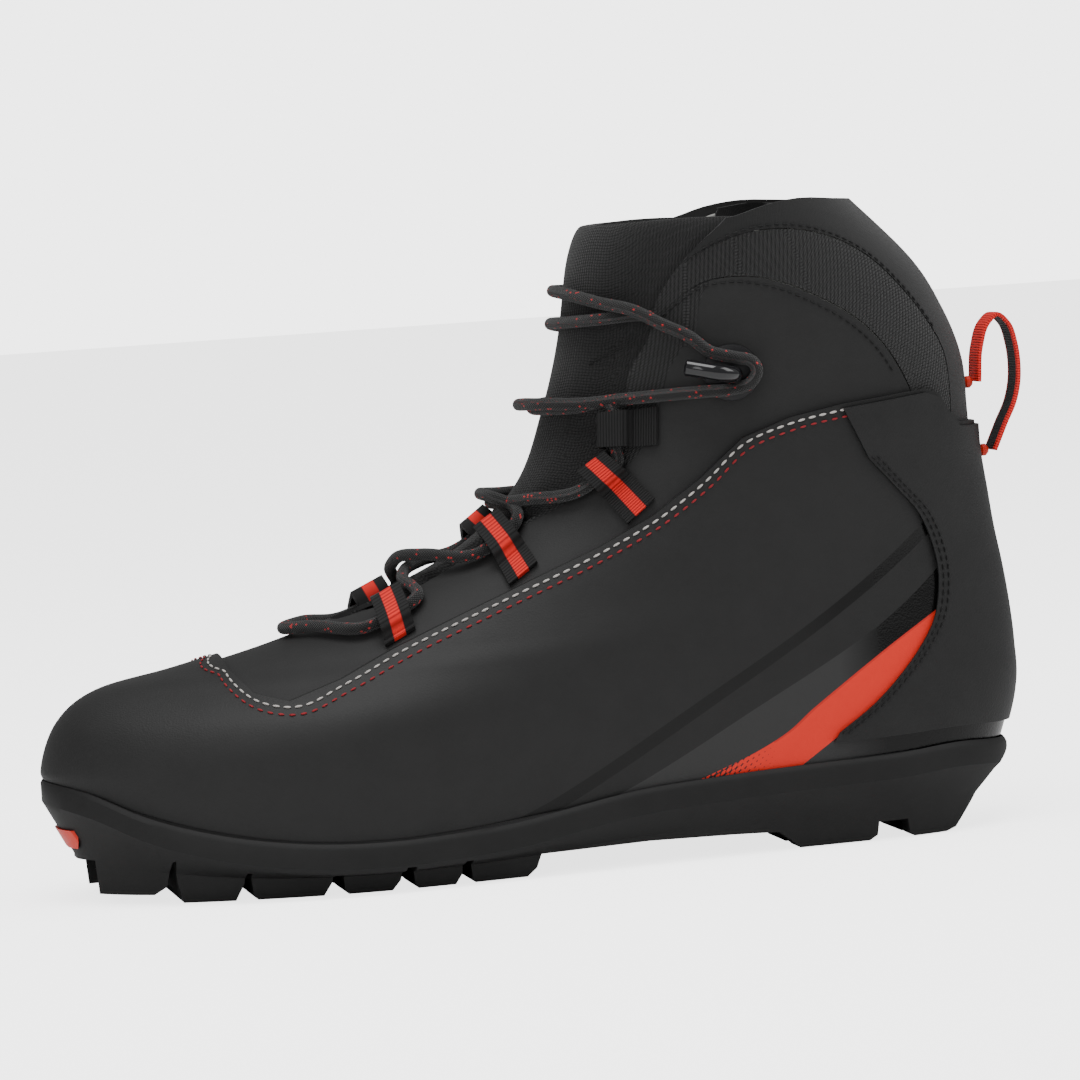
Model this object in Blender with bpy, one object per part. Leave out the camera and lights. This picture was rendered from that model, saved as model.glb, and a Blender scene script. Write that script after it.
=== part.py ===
"""Cross country ski boot, left foot, as an assembly of separate pieces.

Metres, +Z up, toe towards -X, the boot's outer side towards -Y.  The boot's surface comes from a
pattern drawn in millimetres, graded to the driving sizes below.
"""

import math

import bmesh
import bpy
import numpy as np
from mathutils import Vector

# ---- driving sizes, in metres
boot_length = 0.3050
boot_height = 0.200
middle_offset = (0.0007, 0.0001, 0.0)
ball_width = 0.1000

shell_wall = 0.0016
panel_wall = 0.0014
lining_wall = 0.0024
gap = 0.0003
overlay_wall = 0.0010
puff_wall = 0.0010
tongue_wall = 0.0046
collar_pad = 0.0056
lasting_tuck = 0.0035
board_wall = 0.0018
insole_wall = 0.0040
rim_wall = 0.0024

bar_radius = 0.0020
bar_length = 0.0340
bar_height = 0.0078
pocket_width = 0.0260
pocket_length = 0.0150
pocket_depth = 0.0130
guide_width = 0.0070
guide_spacing = 0.0280
guide_depth = 0.0050

webbing_width = 0.0105
webbing_wall = 0.0014
lace_diameter = 0.0038
rivet_radius = 0.0032
hook_length = 0.0150
hook_radius = 0.0026
hook_pad_radius = 0.0085
pull_width = 0.0105
pull_wall = 0.0014

flex_x = -72.7
flex_z = 6.8
flex_rear_lean = 11.0
flex_front_lean = 38.0

# ---- the pattern, in millimetres at size 42, except where it says rows or degrees
# grade turns a pattern place into metres for the sizes above
pattern_length = 298.8
pattern_height = 200.0
pattern_width = 100.0
grade = np.array([boot_length / pattern_length, ball_width / pattern_width,
                  boot_height / pattern_height])

front_line = [(-150, 31), (-152.5, 40), (-147, 54), (-135, 63), (-112, 68), (-82, 75.5),
              (-50, 86.5), (-23, 99.5), (-5, 117), (4, 138), (10, 158), (14, 180), (19, 206)]
back_line = [(140, 22), (146, 42), (146.3, 56), (145.5, 68), (144, 80), (142, 92),
             (140.5, 104), (139, 116), (138.5, 130), (137.5, 146), (132, 162), (122, 179), (99, 203)]
girth_angles = [0, 30, 60, 90, 120, 150, 180]
girth_rows = [0, 1.5, 3, 5, 8, 12]
girths = [(50, 53, 52, 39, 37, 48, 52),
          (54, 57, 54, 42, 39, 47, 51),
          (34, 37, 41, 41, 39, 44, 46),
          (28, 31, 35, 37, 38, 41, 42),
          (29, 32, 36, 38, 40, 42, 42),
          (38, 40, 41, 42, 43, 44, 44)]
feather_x = [-154, -141, -127, -108, -89, -62, -40, -17, 1, 12, 45, 75, 99, 124, 137, 150]
feather_z = [38, 33.5, 26.5, 20.5, 17, 15, 15.4, 17, 20, 21.8, 24.3, 25.3, 25.9, 27.2, 26, 25]
toe_swing = 6.0
waist_hollow = 3.5

throat_edge = [(-97.9, 76), (-97.4, 68.1), (-92.5, 61.5), (-83.1, 58.8), (-67.2, 64), (-50.3, 71.5),
               (-18.4, 84.1), (12.8, 96.8), (29, 105), (44.1, 115.6), (56.9, 126.7), (71.9, 132),
               (88, 134.8), (115.8, 137.4), (121.3, 135.5), (124, 130.6), (128.6, 126), (160, 124)]
overlay_front = [(86.5, 131.3), (95.7, 117.7), (104.2, 108.5), (112.2, 99.4), (116.3, 90.2),
                 (117.9, 82.4), (117.2, 72.4), (115.8, 67.3), (109.3, 57.4), (103.6, 51.1),
                 (94.1, 42.4), (82.8, 34.7), (71.8, 28.6)]
panel_top = [(111.2, 137.5), (108.5, 143), (102.8, 152), (93.5, 161), (82.9, 167.4), (70.7, 173),
             (58.3, 175.5), (48.4, 174.3), (40.1, 168.9), (31.1, 161.2), (14, 152)]
mesh_top = [(125.9, 123), (126.1, 137.5), (124.6, 148.3), (118.6, 159.1), (110.4, 169.2),
            (99.8, 179.2), (86.9, 186), (74.1, 188.9), (61.2, 188.4), (46.9, 183), (35.5, 174.8),
            (30, 171), (14, 160)]
collar_top = [(10, 160), (28.5, 171), (38.9, 184), (49.8, 192.2), (58.4, 193.8), (68.3, 196.6),
              (78.8, 198), (91.4, 197.2), (112, 196)]
slot_rows = [5.5, 5.8, 6.4, 7.1, 7.5, 8, 8.5, 9, 9.5, 10, 10.6, 11.2, 11.6, 12]
slot_angles = [8, 19, 19, 20, 32, 44, 47, 46, 45, 50, 53, 66, 82, 95]

sole_profile = [(-160, 60), (-160, 33), (-153.4, 33), (-149.1, 20.4), (-147, 14), (-144.3, 7.9),
                (-139, 2.8), (-124.5, 2.6), (-121, 5), (-119.5, 13), (-118.6, 13.2), (-118, 6),
                (-116.5, 0), (-102, 0), (-99.5, 5), (-98.9, 8.5), (-97.6, 8.5), (-96.9, 1),
                (-95.7, 0), (-77, 0), (-74.5, 4), (-74.1, 6.2), (-71.3, 6.2), (-70.8, 1),
                (-69.8, 0), (-57, 0), (-54.5, 3), (-53.6, 7.5), (-50.8, 7.5), (-50.2, 1),
                (-49.2, 0), (-38, 0), (-36, 3), (-35.6, 7.5), (-33.4, 7.5), (-32.8, 1),
                (-32, 0), (-16, 0), (-13, 2.5), (-11.5, 6.5), (22, 7), (48, 6.2), (63, 5.5),
                (67.5, 2), (69.5, 0), (91.5, 0), (94.1, 1.5), (94.7, 5.5), (104, 5.5),
                (104.6, 0.8), (106, 0), (117, 0), (120.5, 1), (135, 17.5), (146, 26), (160, 30),
                (160, 60)]
tread_inset_angles = [0, 30, 60, 90, 120, 150, 180]
tread_insets = [7, 4, 6, 3, 3, 3, 6]

loop_corners = {
    "1": [(-52.5, 82.4), (-43.2, 87.0), (-43.0, 76.4), (-52.6, 72.8)],
    "2": [(-18.1, 101.6), (-10.2, 107.4), (-4.4, 92.2), (-14.2, 87.8)],
    "3": [(11.3, 118.9), (18.9, 125.2), (31.4, 108.9), (21.8, 103.4)],
}
keeper_corners = [(17.2, 126), (18.2, 136.5), (33.5, 138), (33, 126.5)]

top_row = 12.0


def spline(knots, values, at):
    """Smooth curve through values at uneven knots, for an array of places."""
    knots = np.asarray(knots, float)
    values = np.asarray(values, float)
    if values.ndim == 1:
        values = values[:, None]
    at = np.clip(np.atleast_1d(np.asarray(at, float)), knots[0], knots[-1])
    slopes = np.gradient(values, knots, axis=0)
    i = np.clip(np.searchsorted(knots, at, side="right") - 1, 0, len(knots) - 2)
    step = (knots[i + 1] - knots[i])[:, None]
    u = (at - knots[i])[:, None] / step
    a = values[i] * (1 + 2 * u) * (1 - u) ** 2
    b = slopes[i] * step * u * (1 - u) ** 2
    c = values[i + 1] * u * u * (3 - 2 * u)
    d = slopes[i + 1] * step * u * u * (u - 1)
    return a + b + c + d


def feather(x):
    """Height of the line where upper meets sole, in pattern mm."""
    return spline(feather_x, feather_z, x)[:, 0]


def pattern_point(row, angle):
    """Outer surface at a pattern row and an angle round it: 0 front, 90 outer side, 180 back."""
    row = np.asarray(row, float)
    angle = np.asarray(angle, float) % 360.0
    shape = np.broadcast(row, angle).shape
    row = np.broadcast_to(row, shape).ravel()
    angle = np.broadcast_to(angle, shape).ravel()
    outer = angle <= 180.0
    turn = np.where(outer, angle, 360.0 - angle)
    along = (1 - np.cos(np.radians(turn))) / 2
    rows = np.arange(len(front_line))
    front = spline(rows, front_line, row)
    back = spline(rows, back_line, row)
    x = front[:, 0] + (back[:, 0] - front[:, 0]) * along
    front = spline(rows, front_line, np.maximum(row, 1))
    back = spline(rows, back_line, np.maximum(row, 1))
    z = front[:, 1] + (back[:, 1] - front[:, 1]) * along
    foot = feather(x) - lasting_tuck * 1000
    low = np.clip(row, 0, 1)
    z = np.where(row < 1, foot * (1 - low) + z * low, z)
    by_row = spline(girth_rows, girths, row)
    columns = np.array([spline(girth_angles, by_row[i], turn[i:i + 1])[0, 0] for i in range(len(row))])
    half = columns * np.sin(np.radians(turn))
    fade = np.clip(1 - row / 6, 0, 1)
    hollow = waist_hollow * np.exp(-((x - 18) / 42) ** 2) * fade
    half = np.where(outer, half, half - hollow * np.sin(np.radians(turn)))
    swing = np.clip((-40 - x) / 110, 0, 1)
    centre = toe_swing * swing * swing * (3 - 2 * swing)
    y = centre + np.where(outer, -half, half)
    return np.stack([x, y, z], axis=1).reshape(shape + (3,))


def surface(row, angle, inset=0.0):
    """World point on the surface of the boot, moved inwards by inset."""
    row, angle, inset = np.broadcast_arrays(np.asarray(row, float), np.asarray(angle, float),
                                            np.asarray(inset, float))
    here = pattern_point(row, angle) * grade
    dr, da = 0.02, 0.5
    along_row = (pattern_point(np.minimum(row + dr, top_row), angle)
                 - pattern_point(np.maximum(row - dr, 0), angle)) * grade
    around = (pattern_point(row, angle + da) - pattern_point(row, angle - da)) * grade
    normal = np.cross(along_row, around)
    normal /= np.maximum(np.linalg.norm(normal, axis=-1, keepdims=True), 1e-9)
    return here + normal * inset[..., None]


def where(x, z, side):
    """Row and angle of the surface point seen from the side at pattern x, z.  side -1 is outer."""
    low, high = 0.0, top_row
    rows = np.arange(len(front_line))
    for _ in range(40):
        row = (low + high) / 2
        front = spline(rows, front_line, [row])[0]
        back = spline(rows, back_line, [row])[0]
        along = (x - front[0]) / (back[0] - front[0])
        turn = math.degrees(math.acos(max(-1.0, min(1.0, 1 - 2 * along))))
        height = pattern_point([row], [turn])[0][2]
        if along < 0 or height > z:
            high = row
        else:
            low = row
    return row, (turn if side < 0 else 360.0 - turn)


# ---- Blender helpers
def fresh_scene():
    for obj in list(bpy.data.objects):
        bpy.data.objects.remove(obj, do_unlink=True)
    parts = bpy.data.collections.new("cross_country_boot")
    cutters = bpy.data.collections.new("cutters")
    bpy.context.scene.collection.children.link(parts)
    bpy.context.scene.collection.children.link(cutters)
    return parts, cutters


parts_collection, cutter_collection = fresh_scene()


def make_material(name, colour, roughness, metallic=0.0):
    material = bpy.data.materials.new(name)
    material.use_nodes = True
    shader = material.node_tree.nodes["Principled BSDF"]
    shader.inputs["Base Color"].default_value = (*colour, 1)
    shader.inputs["Roughness"].default_value = roughness
    shader.inputs["Metallic"].default_value = metallic
    material.diffuse_color = (*colour, 1)
    return material


materials = {
    "rubber": make_material("rubber", (0.030, 0.030, 0.031), 0.55),
    "shell": make_material("shell", (0.034, 0.034, 0.035), 0.5),
    "panel": make_material("panel", (0.038, 0.038, 0.039), 0.6),
    "mesh": make_material("mesh", (0.036, 0.036, 0.037), 0.8),
    "tongue": make_material("tongue", (0.045, 0.045, 0.046), 0.8),
    "lining": make_material("lining", (0.05, 0.05, 0.052), 0.9),
    "foam": make_material("foam", (0.25, 0.25, 0.24), 0.9),
    "board": make_material("board", (0.22, 0.18, 0.12), 0.9),
    "red": make_material("red", (0.68, 0.07, 0.05), 0.5),
    "webbing": make_material("webbing", (0.03, 0.03, 0.03), 0.8),
    "lace": make_material("lace", (0.035, 0.033, 0.035), 0.8),
    "steel": make_material("steel", (0.62, 0.62, 0.64), 0.25, 1.0),
    "plastic": make_material("plastic", (0.015, 0.015, 0.016), 0.2),
}


def link(obj, material, collection=None):
    (collection or parts_collection).objects.link(obj)
    obj.data.materials.append(materials[material] if isinstance(material, str) else material)
    return obj


def object_from(name, points, faces, material, collection=None):
    """Mesh object from points and faces, with its normals turned outwards."""
    mesh = bpy.data.meshes.new(name)
    mesh.from_pydata([tuple(p) for p in points], [], faces)
    bm = bmesh.new()
    bm.from_mesh(mesh)
    bmesh.ops.remove_doubles(bm, verts=bm.verts, dist=0.00002)
    bmesh.ops.recalc_face_normals(bm, faces=bm.faces)
    if bm.calc_volume(signed=True) < 0:
        bmesh.ops.reverse_faces(bm, faces=bm.faces)
    bm.to_mesh(mesh)
    bm.free()
    return link(bpy.data.objects.new(name, mesh), material, collection)


def as_cutter(obj):
    obj.hide_render = True
    obj.display_type = "WIRE"
    return obj


def grid_faces(rows, columns, start, closed, flip=False):
    """Triangles of a rows x columns sheet whose points begin at start, all cut the same way."""
    faces = []
    for r in range(rows - 1):
        for c in range(columns if closed else columns - 1):
            d = (c + 1) % columns
            a, b = start + r * columns + c, start + r * columns + d
            e, f = start + (r + 1) * columns + d, start + (r + 1) * columns + c
            faces += [[e, b, a], [f, e, a]] if flip else [[a, b, e], [a, e, f]]
    return faces


def thick_sheet(name, outer, inner, material, closed, collection=None):
    """Closed solid between two matching sheets of points (rows x columns x 3)."""
    rows, columns = outer.shape[:2]
    count = rows * columns
    points = np.concatenate([outer.reshape(-1, 3), inner.reshape(-1, 3)])
    faces = grid_faces(rows, columns, 0, closed) + grid_faces(rows, columns, count, closed, True)
    for r, flip in ((0, True), (rows - 1, False)):
        for c in range(columns if closed else columns - 1):
            d = (c + 1) % columns
            quad = [r * columns + c, r * columns + d, count + r * columns + d, count + r * columns + c]
            faces.append(quad[::-1] if flip else quad)
    if not closed:
        for c, flip in ((0, False), (columns - 1, True)):
            for r in range(rows - 1):
                quad = [r * columns + c, (r + 1) * columns + c,
                        count + (r + 1) * columns + c, count + r * columns + c]
                faces.append(quad[::-1] if flip else quad)
    return object_from(name, points, faces, material, collection)


ring_rows = [0, 0.5, 1, 1.5, 2, 2.6, 3.2, 4, 5, 5.6, 6.2, 6.8, 7.4, 8, 8.6, 9.3, 10, 11, 11.5, 12]
ring_angles = np.array([0, 8, 17, 27, 38, 50, 63, 77, 92, 107, 121, 134, 146, 157, 166, 173])
ring_angles = np.concatenate([ring_angles, [180], 360 - ring_angles[:0:-1]])


def ring_layer(name, outside, inside, material, rows=None, collection=None):
    """A closed sleeve round the whole boot between two insets, either a number or a function of row."""
    rows = np.array(ring_rows if rows is None else rows, float)
    grid_row, grid_angle = np.meshgrid(rows, ring_angles, indexing="ij")
    out = outside(grid_row) if callable(outside) else np.full(grid_row.shape, outside)
    inn = inside(grid_row) if callable(inside) else np.full(grid_row.shape, inside)
    return thick_sheet(name, surface(grid_row, grid_angle, out), surface(grid_row, grid_angle, inn),
                       material, True, collection)


def side_cutter(name, outline, low_y=-0.12, high_y=0.12):
    """A prism along Y from an outline in pattern x, z, to cut or keep a region seen from the side."""
    curve = bpy.data.curves.new(name, "CURVE")
    curve.dimensions = "2D"
    curve.fill_mode = "BOTH"
    curve.extrude = (high_y - low_y) / 2
    line = curve.splines.new("POLY")
    line.points.add(len(outline) - 1)
    for point, (x, z) in zip(line.points, outline):
        point.co = (x * grade[0], z * grade[2], 0, 1)
    line.use_cyclic_u = True
    flat = bpy.data.objects.new(name + "_outline", curve)
    bpy.context.scene.collection.objects.link(flat)
    flat.rotation_euler = (math.pi / 2, 0, 0)
    flat.location = (0, (high_y + low_y) / 2, 0)
    bpy.context.view_layer.update()
    mesh = bpy.data.meshes.new_from_object(flat.evaluated_get(bpy.context.evaluated_depsgraph_get()))
    mesh.transform(flat.matrix_world)
    bpy.data.objects.remove(flat, do_unlink=True)
    bm = bmesh.new()
    bm.from_mesh(mesh)
    bmesh.ops.remove_doubles(bm, verts=bm.verts, dist=0.00001)
    bmesh.ops.recalc_face_normals(bm, faces=bm.faces)
    if bm.calc_volume(signed=True) < 0:
        bmesh.ops.reverse_faces(bm, faces=bm.faces)
    bm.to_mesh(mesh)
    bm.free()
    obj = bpy.data.objects.new(name, mesh)
    cutter_collection.objects.link(obj)
    return as_cutter(obj)


def boolean(obj, cutter, operation):
    modifier = obj.modifiers.new(operation.lower() + "_" + cutter.name[:40], "BOOLEAN")
    modifier.operation = operation
    modifier.object = cutter
    modifier.solver = "EXACT"
    return obj


def copy_as(obj, name, material):
    """A copy of a piece with its modifiers so far, under its own name."""
    bpy.context.view_layer.update()
    mesh = bpy.data.meshes.new_from_object(obj.evaluated_get(bpy.context.evaluated_depsgraph_get()))
    mesh.name = name
    mesh.materials.clear()
    new = bpy.data.objects.new(name, mesh)
    return link(new, material)


def forget(obj):
    bpy.data.objects.remove(obj, do_unlink=True)


def smooth_line(points, count):
    """Even points on a smooth curve through the given ones."""
    points = np.asarray(points, float)
    steps = np.r_[0, np.cumsum(np.linalg.norm(np.diff(points, axis=0), axis=1))]
    fine = spline(steps, points, np.linspace(0, steps[-1], 2000))
    run = np.r_[0, np.cumsum(np.linalg.norm(np.diff(fine, axis=0), axis=1))]
    at = np.linspace(0, run[-1], count)
    return np.stack([np.interp(at, run, fine[:, k]) for k in range(3)], axis=1)


def tube(name, points, radius, material, resolution=2):
    curve = bpy.data.curves.new(name, "CURVE")
    curve.dimensions = "3D"
    curve.bevel_depth = radius
    curve.bevel_resolution = resolution
    curve.use_fill_caps = True
    line = curve.splines.new("POLY")
    line.points.add(len(points) - 1)
    for point, place in zip(line.points, points):
        point.co = (*place, 1)
    return link(bpy.data.objects.new(name, curve), material)


# ---- regions seen from the side, in pattern mm
margin = gap * 500


def flex_line(lean, shift):
    """Two points up one side of the flex wedge."""
    reach = 120
    return [(flex_x + shift, flex_z), (flex_x + shift - reach * math.tan(math.radians(lean)),
                                       flex_z + reach)]


def front_zone():
    return side_cutter("front_zone", [(-175, -15), (flex_x - 2 * margin, -15)]
                       + flex_line(flex_front_lean, -2 * margin) + [(-175, flex_z + 120)])


def rear_zone():
    return side_cutter("rear_zone", [(175, -15), (175, 230), (-80, 230)]
                       + flex_line(flex_rear_lean, 2 * margin)[::-1] + [(flex_x + 2 * margin, -15)])


def flex_zone():
    front = flex_line(flex_front_lean, 2 * margin)
    rear = flex_line(flex_rear_lean, -2 * margin)
    low = 4 * margin
    return side_cutter("flex_zone", [(flex_x, flex_z + low)] + front[1:] + rear[1:])


zones = {"front": front_zone(), "rear": rear_zone(), "flex": flex_zone()}


def split(obj, names, material):
    """Cut a layer at the forefoot flex into separate pieces and drop the whole."""
    pieces = {}
    for zone, name in names.items():
        pieces[zone] = boolean(copy_as(obj, name, material), zones[zone], "INTERSECT")
    forget(obj)
    return pieces


# ---- insets of the layers, from the outside in
panel_inset = shell_wall + gap
lining_inset = panel_inset + panel_wall + gap
tongue_inset = lining_inset + gap
pad_low_row, pad_high_row = 7.6, 9.4


def lining_outer(row):
    """The lining steps inwards behind the collar padding."""
    rise = np.clip((row - pad_low_row) / (pad_high_row - pad_low_row), 0, 1)
    return lining_inset + (collar_pad + gap) * rise * rise * (3 - 2 * rise)


def lining_inner(row):
    return lining_outer(row) + lining_wall


def base_height(x):
    return (feather(x) - lasting_tuck * 1000) * grade[2]


half_angles = ring_angles[1:len(ring_angles) // 2]
cross_steps = np.linspace(0, 1, 5)


def floor_sheet(name, inset, low, high, material, angles=None, collection=None):
    """A sheet across the boot's floor, set in from the surface, between two heights over the base."""
    angles = half_angles if angles is None else np.asarray(angles, float)
    outer = surface(np.zeros(len(angles)), angles, inset)
    inner = surface(np.zeros(len(angles)), 360 - angles, inset)
    rows = outer[:, None, :] * (1 - cross_steps[None, :, None]) + inner[:, None, :] * cross_steps[None, :, None]
    height = base_height(rows[..., 0] / grade[0])
    top = np.stack([rows[..., 0], rows[..., 1], height + high], axis=-1)
    bottom = np.stack([rows[..., 0], rows[..., 1], height + low], axis=-1)
    return thick_sheet(name, top, bottom, material, False, collection)


def filled_ring(name, rows, inset, drop, material, collection=None):
    """The boot's own form as a solid block over some rows, its floor lowered by drop."""
    grid_row, grid_angle = np.meshgrid(np.array(rows, float), ring_angles, indexing="ij")
    points = surface(grid_row, grid_angle, inset)
    points[0, :, 2] -= drop
    return solid_from_rings(name, points, material, collection)


def solid_from_rings(name, points, material, collection=None):
    count, columns = points.shape[:2]
    faces = grid_faces(count, columns, 0, True)
    for start, flip in ((0, True), ((count - 1) * columns, False)):
        for c in range(columns // 2):
            across = [start + c, start + c + 1, start + (columns - c - 1) % columns,
                      start + (columns - c) % columns]
            faces.append(across[::-1] if flip else across)
    faces = [list(dict.fromkeys(face)) for face in faces]
    return object_from(name, points.reshape(-1, 3), faces, material, collection)


# ---- sole
board_top = -gap
board_bottom = board_top - board_wall
cup_floor = board_bottom - 2 * gap
shank_angles = np.array([92, 107, 121, 134])
shank_half_width = 0.009
shank_wall = 0.0018
insert_low = np.array([-147.6, -6, 15.5]) * grade
insert_high = np.array([-144.2, 18, 21.2]) * grade


def outline_row(inset, heights):
    """A ring of the sole: the upper's bottom edge moved in by inset, at its own heights."""
    ring = surface(np.full(len(ring_angles), 0.1), ring_angles, inset)
    ring[:, 2] = heights(ring[:, 0] / grade[0])
    return ring


def make_outsole():
    tread = spline(tread_inset_angles, tread_insets,
                   np.where(ring_angles <= 180, ring_angles, 360 - ring_angles))[:, 0] / 1000
    rim = gap + rim_wall
    rings = [outline_row(tread + 0.001, lambda x: np.full(len(x), -0.002)),
             outline_row(tread, lambda x: 0.45 * base_height(x)),
             outline_row(-rim, lambda x: (feather(x) - 7.6) * grade[2]),
             outline_row(-rim, lambda x: (feather(x) - 1.0) * grade[2]),
             outline_row(-rim + 0.0010, lambda x: (feather(x) + 0.6) * grade[2])]
    sole = solid_from_rings("outsole_whole", np.stack(rings), "rubber")
    boolean(sole, side_cutter("sole_side", sole_profile), "INTERSECT")
    cup = filled_ring("cup", [0, 0.3, 0.6, 1, 1.5, 2], -gap, -cup_floor, "rubber", cutter_collection)
    boolean(sole, as_cutter(cup), "DIFFERENCE")
    for side in (-1, 1):
        guide = box("guide_" + ("outer" if side < 0 else "inner"),
                    (-0.116, side * guide_spacing / 2 - guide_width / 2, -0.004),
                    (0.150, side * guide_spacing / 2 + guide_width / 2, guide_depth))
        boolean(sole, guide, "DIFFERENCE")
    bar_place = binding_bar_place()
    pocket = box("binding_pocket", (bar_place[0] - 0.030, bar_place[1] - pocket_width / 2, -0.004),
                 (bar_place[0] - bar_radius - 0.0035 + pocket_length, bar_place[1] + pocket_width / 2,
                  pocket_depth))
    boolean(sole, pocket, "DIFFERENCE")
    hole = cylinder("bar_hole", bar_place, bar_radius + gap / 2, bar_length + 2 * gap, "rubber",
                    cutter_collection)
    boolean(sole, as_cutter(hole), "DIFFERENCE")
    shank_room = shank_plate("shank_room", cup_floor + 0.0005, cup_floor - gap * 2 - shank_wall, gap,
                             cutter_collection)
    boolean(sole, as_cutter(shank_room), "DIFFERENCE")
    seat = box("insert_seat", insert_low - np.array([0.02, gap, gap]), insert_high + gap)
    boolean(sole, seat, "DIFFERENCE")
    split(sole, {"front": "outsole_front", "flex": "outsole_flex", "rear": "outsole_rear"}, "rubber")


def binding_bar_place():
    toe = pattern_point([0.1], [0])[0]
    return np.array([(toe[0] + 15.5) * grade[0], toe[1] * grade[1], bar_height])


def box(name, low, high, material="rubber", collection=None):
    low, high = np.array(low, float), np.array(high, float)
    bpy.ops.mesh.primitive_cube_add(size=1, location=(low + high) / 2)
    obj = bpy.context.object
    obj.name = name
    obj.scale = high - low
    bpy.ops.object.transform_apply(location=False, rotation=False, scale=True)
    return move_to(obj, material, collection)


def cylinder(name, centre, radius, length, material, collection=None, axis=(0, 1, 0), sides=20):
    bpy.ops.mesh.primitive_cylinder_add(vertices=sides, radius=radius, depth=length, location=centre)
    obj = bpy.context.object
    obj.name = name
    from_z = Vector((0, 0, 1)).rotation_difference(Vector(axis))
    obj.rotation_euler = from_z.to_euler()
    return move_to(obj, material, collection)


def move_to(obj, material, collection):
    """Put a primitive in the parts' collection, or with the cutters when none is named."""
    for old in list(obj.users_collection):
        old.objects.unlink(obj)
    cutter = collection is None or collection == cutter_collection
    (cutter_collection if cutter else collection).objects.link(obj)
    obj.data.materials.clear()
    obj.data.materials.append(materials[material])
    return as_cutter(obj) if cutter else obj


def shank_plate(name, high, low, spare, collection=None):
    outer = surface(np.zeros(len(shank_angles)), shank_angles, 0)
    x = outer[:, 0].copy()
    x[0] -= spare
    x[-1] += spare
    across = np.linspace(-1, 1, 4) * (shank_half_width + spare)
    grid_x = np.broadcast_to(x[:, None], (len(x), 4))
    grid_y = np.broadcast_to(across[None, :], grid_x.shape)
    height = base_height(grid_x / grade[0])
    top = np.stack([grid_x, grid_y, height + high], axis=-1)
    bottom = np.stack([grid_x, grid_y, height + low], axis=-1)
    return thick_sheet(name, top, bottom, "steel", False, collection)


# ---- upper
def shell_below_throat():
    outline = [(-175, -15), (-175, 95), (-99.5, 95)] + throat_edge + [(175, 124), (175, -15)]
    return side_cutter("shell_region", outline)


def make_shell():
    shell = ring_layer("shell_whole", 0.0, shell_wall, "shell")
    boolean(shell, shell_below_throat(), "INTERSECT")
    split(shell, {"front": "vamp_shell", "flex": "vamp_flex", "rear": "quarter_shell"}, "shell")


def make_heel_overlay():
    overlay = ring_layer("heel_overlay", -(gap + overlay_wall), -gap, "shell")
    top = [(x, z - 1.5) for x, z in throat_edge[12:]]
    floor = [(150, feather(150)[0] + 1.2), (124, feather(124)[0] + 1.2), (99, feather(99)[0] + 1.2),
             (78.6, 28.0)]
    outline = overlay_front[1:-1] + floor[::-1] + [(175, floor[0][1]), (175, 122.5)] + top[::-1]
    boolean(overlay, side_cutter("overlay_region", outline), "INTERSECT")


def slot_angle(row):
    return spline(slot_rows, slot_angles, row)[:, 0]


tongue_rows = np.array([5.95, 6.3, 6.7, 7.1, 7.5, 8, 8.5, 9, 9.5, 10, 10.5, 11, 11.35, 11.7])
tongue_overlap = 12.0
tongue_proud = 0.0028
tail_channel = 6.5
cut_spare = 0.003


def tongue_edge(row):
    return np.minimum(slot_angle(row) + tongue_overlap, 97)


def tongue_outer(row, share):
    """Inset of the tongue's face: proud in the slot, under the panels at its edges."""
    slot = slot_angle(row) / tongue_edge(row)
    rise = np.clip((np.abs(share) / slot - 0.45) / 0.45, 0, 1)
    return tongue_inset - tongue_proud * (1 - rise * rise * (3 - 2 * rise))


def tongue_patch(name, rows, spare, outside, inside, material, collection=None):
    """A patch over the front of the boot, as wide as the tongue and some spare degrees."""
    shares = np.linspace(-1, 1, 17)
    edge = tongue_edge(rows) + spare
    grid_row = np.broadcast_to(rows[:, None], (len(rows), len(shares)))
    grid_angle = edge[:, None] * shares[None, :]
    grid_share = np.broadcast_to(shares[None, :], grid_row.shape)
    out = outside(grid_row.ravel(), grid_share.ravel()).reshape(grid_row.shape)
    inn = inside(grid_row.ravel(), grid_share.ravel()).reshape(grid_row.shape)
    return thick_sheet(name, surface(grid_row, grid_angle, out), surface(grid_row, grid_angle, inn),
                       material, False, collection)


def flat_inset(inset):
    return lambda row, share: np.full(len(row), inset)


def make_tongue():
    tongue_patch("tongue", tongue_rows, 0, tongue_outer, flat_inset(tongue_inset + tongue_wall), "tongue")
    rows = np.concatenate([[5.75], tongue_rows[1:-1], [12.0]])
    room = tongue_patch("tongue_room", rows, tail_channel, flat_inset(tongue_inset - cut_spare),
                        flat_inset(tongue_inset + tongue_wall + 0.012), "tongue", cutter_collection)
    return as_cutter(room)


def make_slot_cutter():
    rows = np.array([5.55, 5.7, 5.9, 6.4, 6.8, 7.1, 7.3, 7.5, 7.75, 8, 8.5, 9, 9.5, 10, 10.6, 11.2, 11.6, 12])
    shares = np.linspace(-1, 1, 9)
    grid_row = np.broadcast_to(rows[:, None], (len(rows), len(shares)))
    grid_angle = slot_angle(rows)[:, None] * shares[None, :]
    out = np.full(grid_row.shape, -0.008)
    inn = np.full(grid_row.shape, panel_inset + panel_wall + cut_spare)
    cutter = thick_sheet("lace_slot", surface(grid_row, grid_angle, out),
                         surface(grid_row, grid_angle, inn), "panel", False, cutter_collection)
    return as_cutter(cutter)


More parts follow.
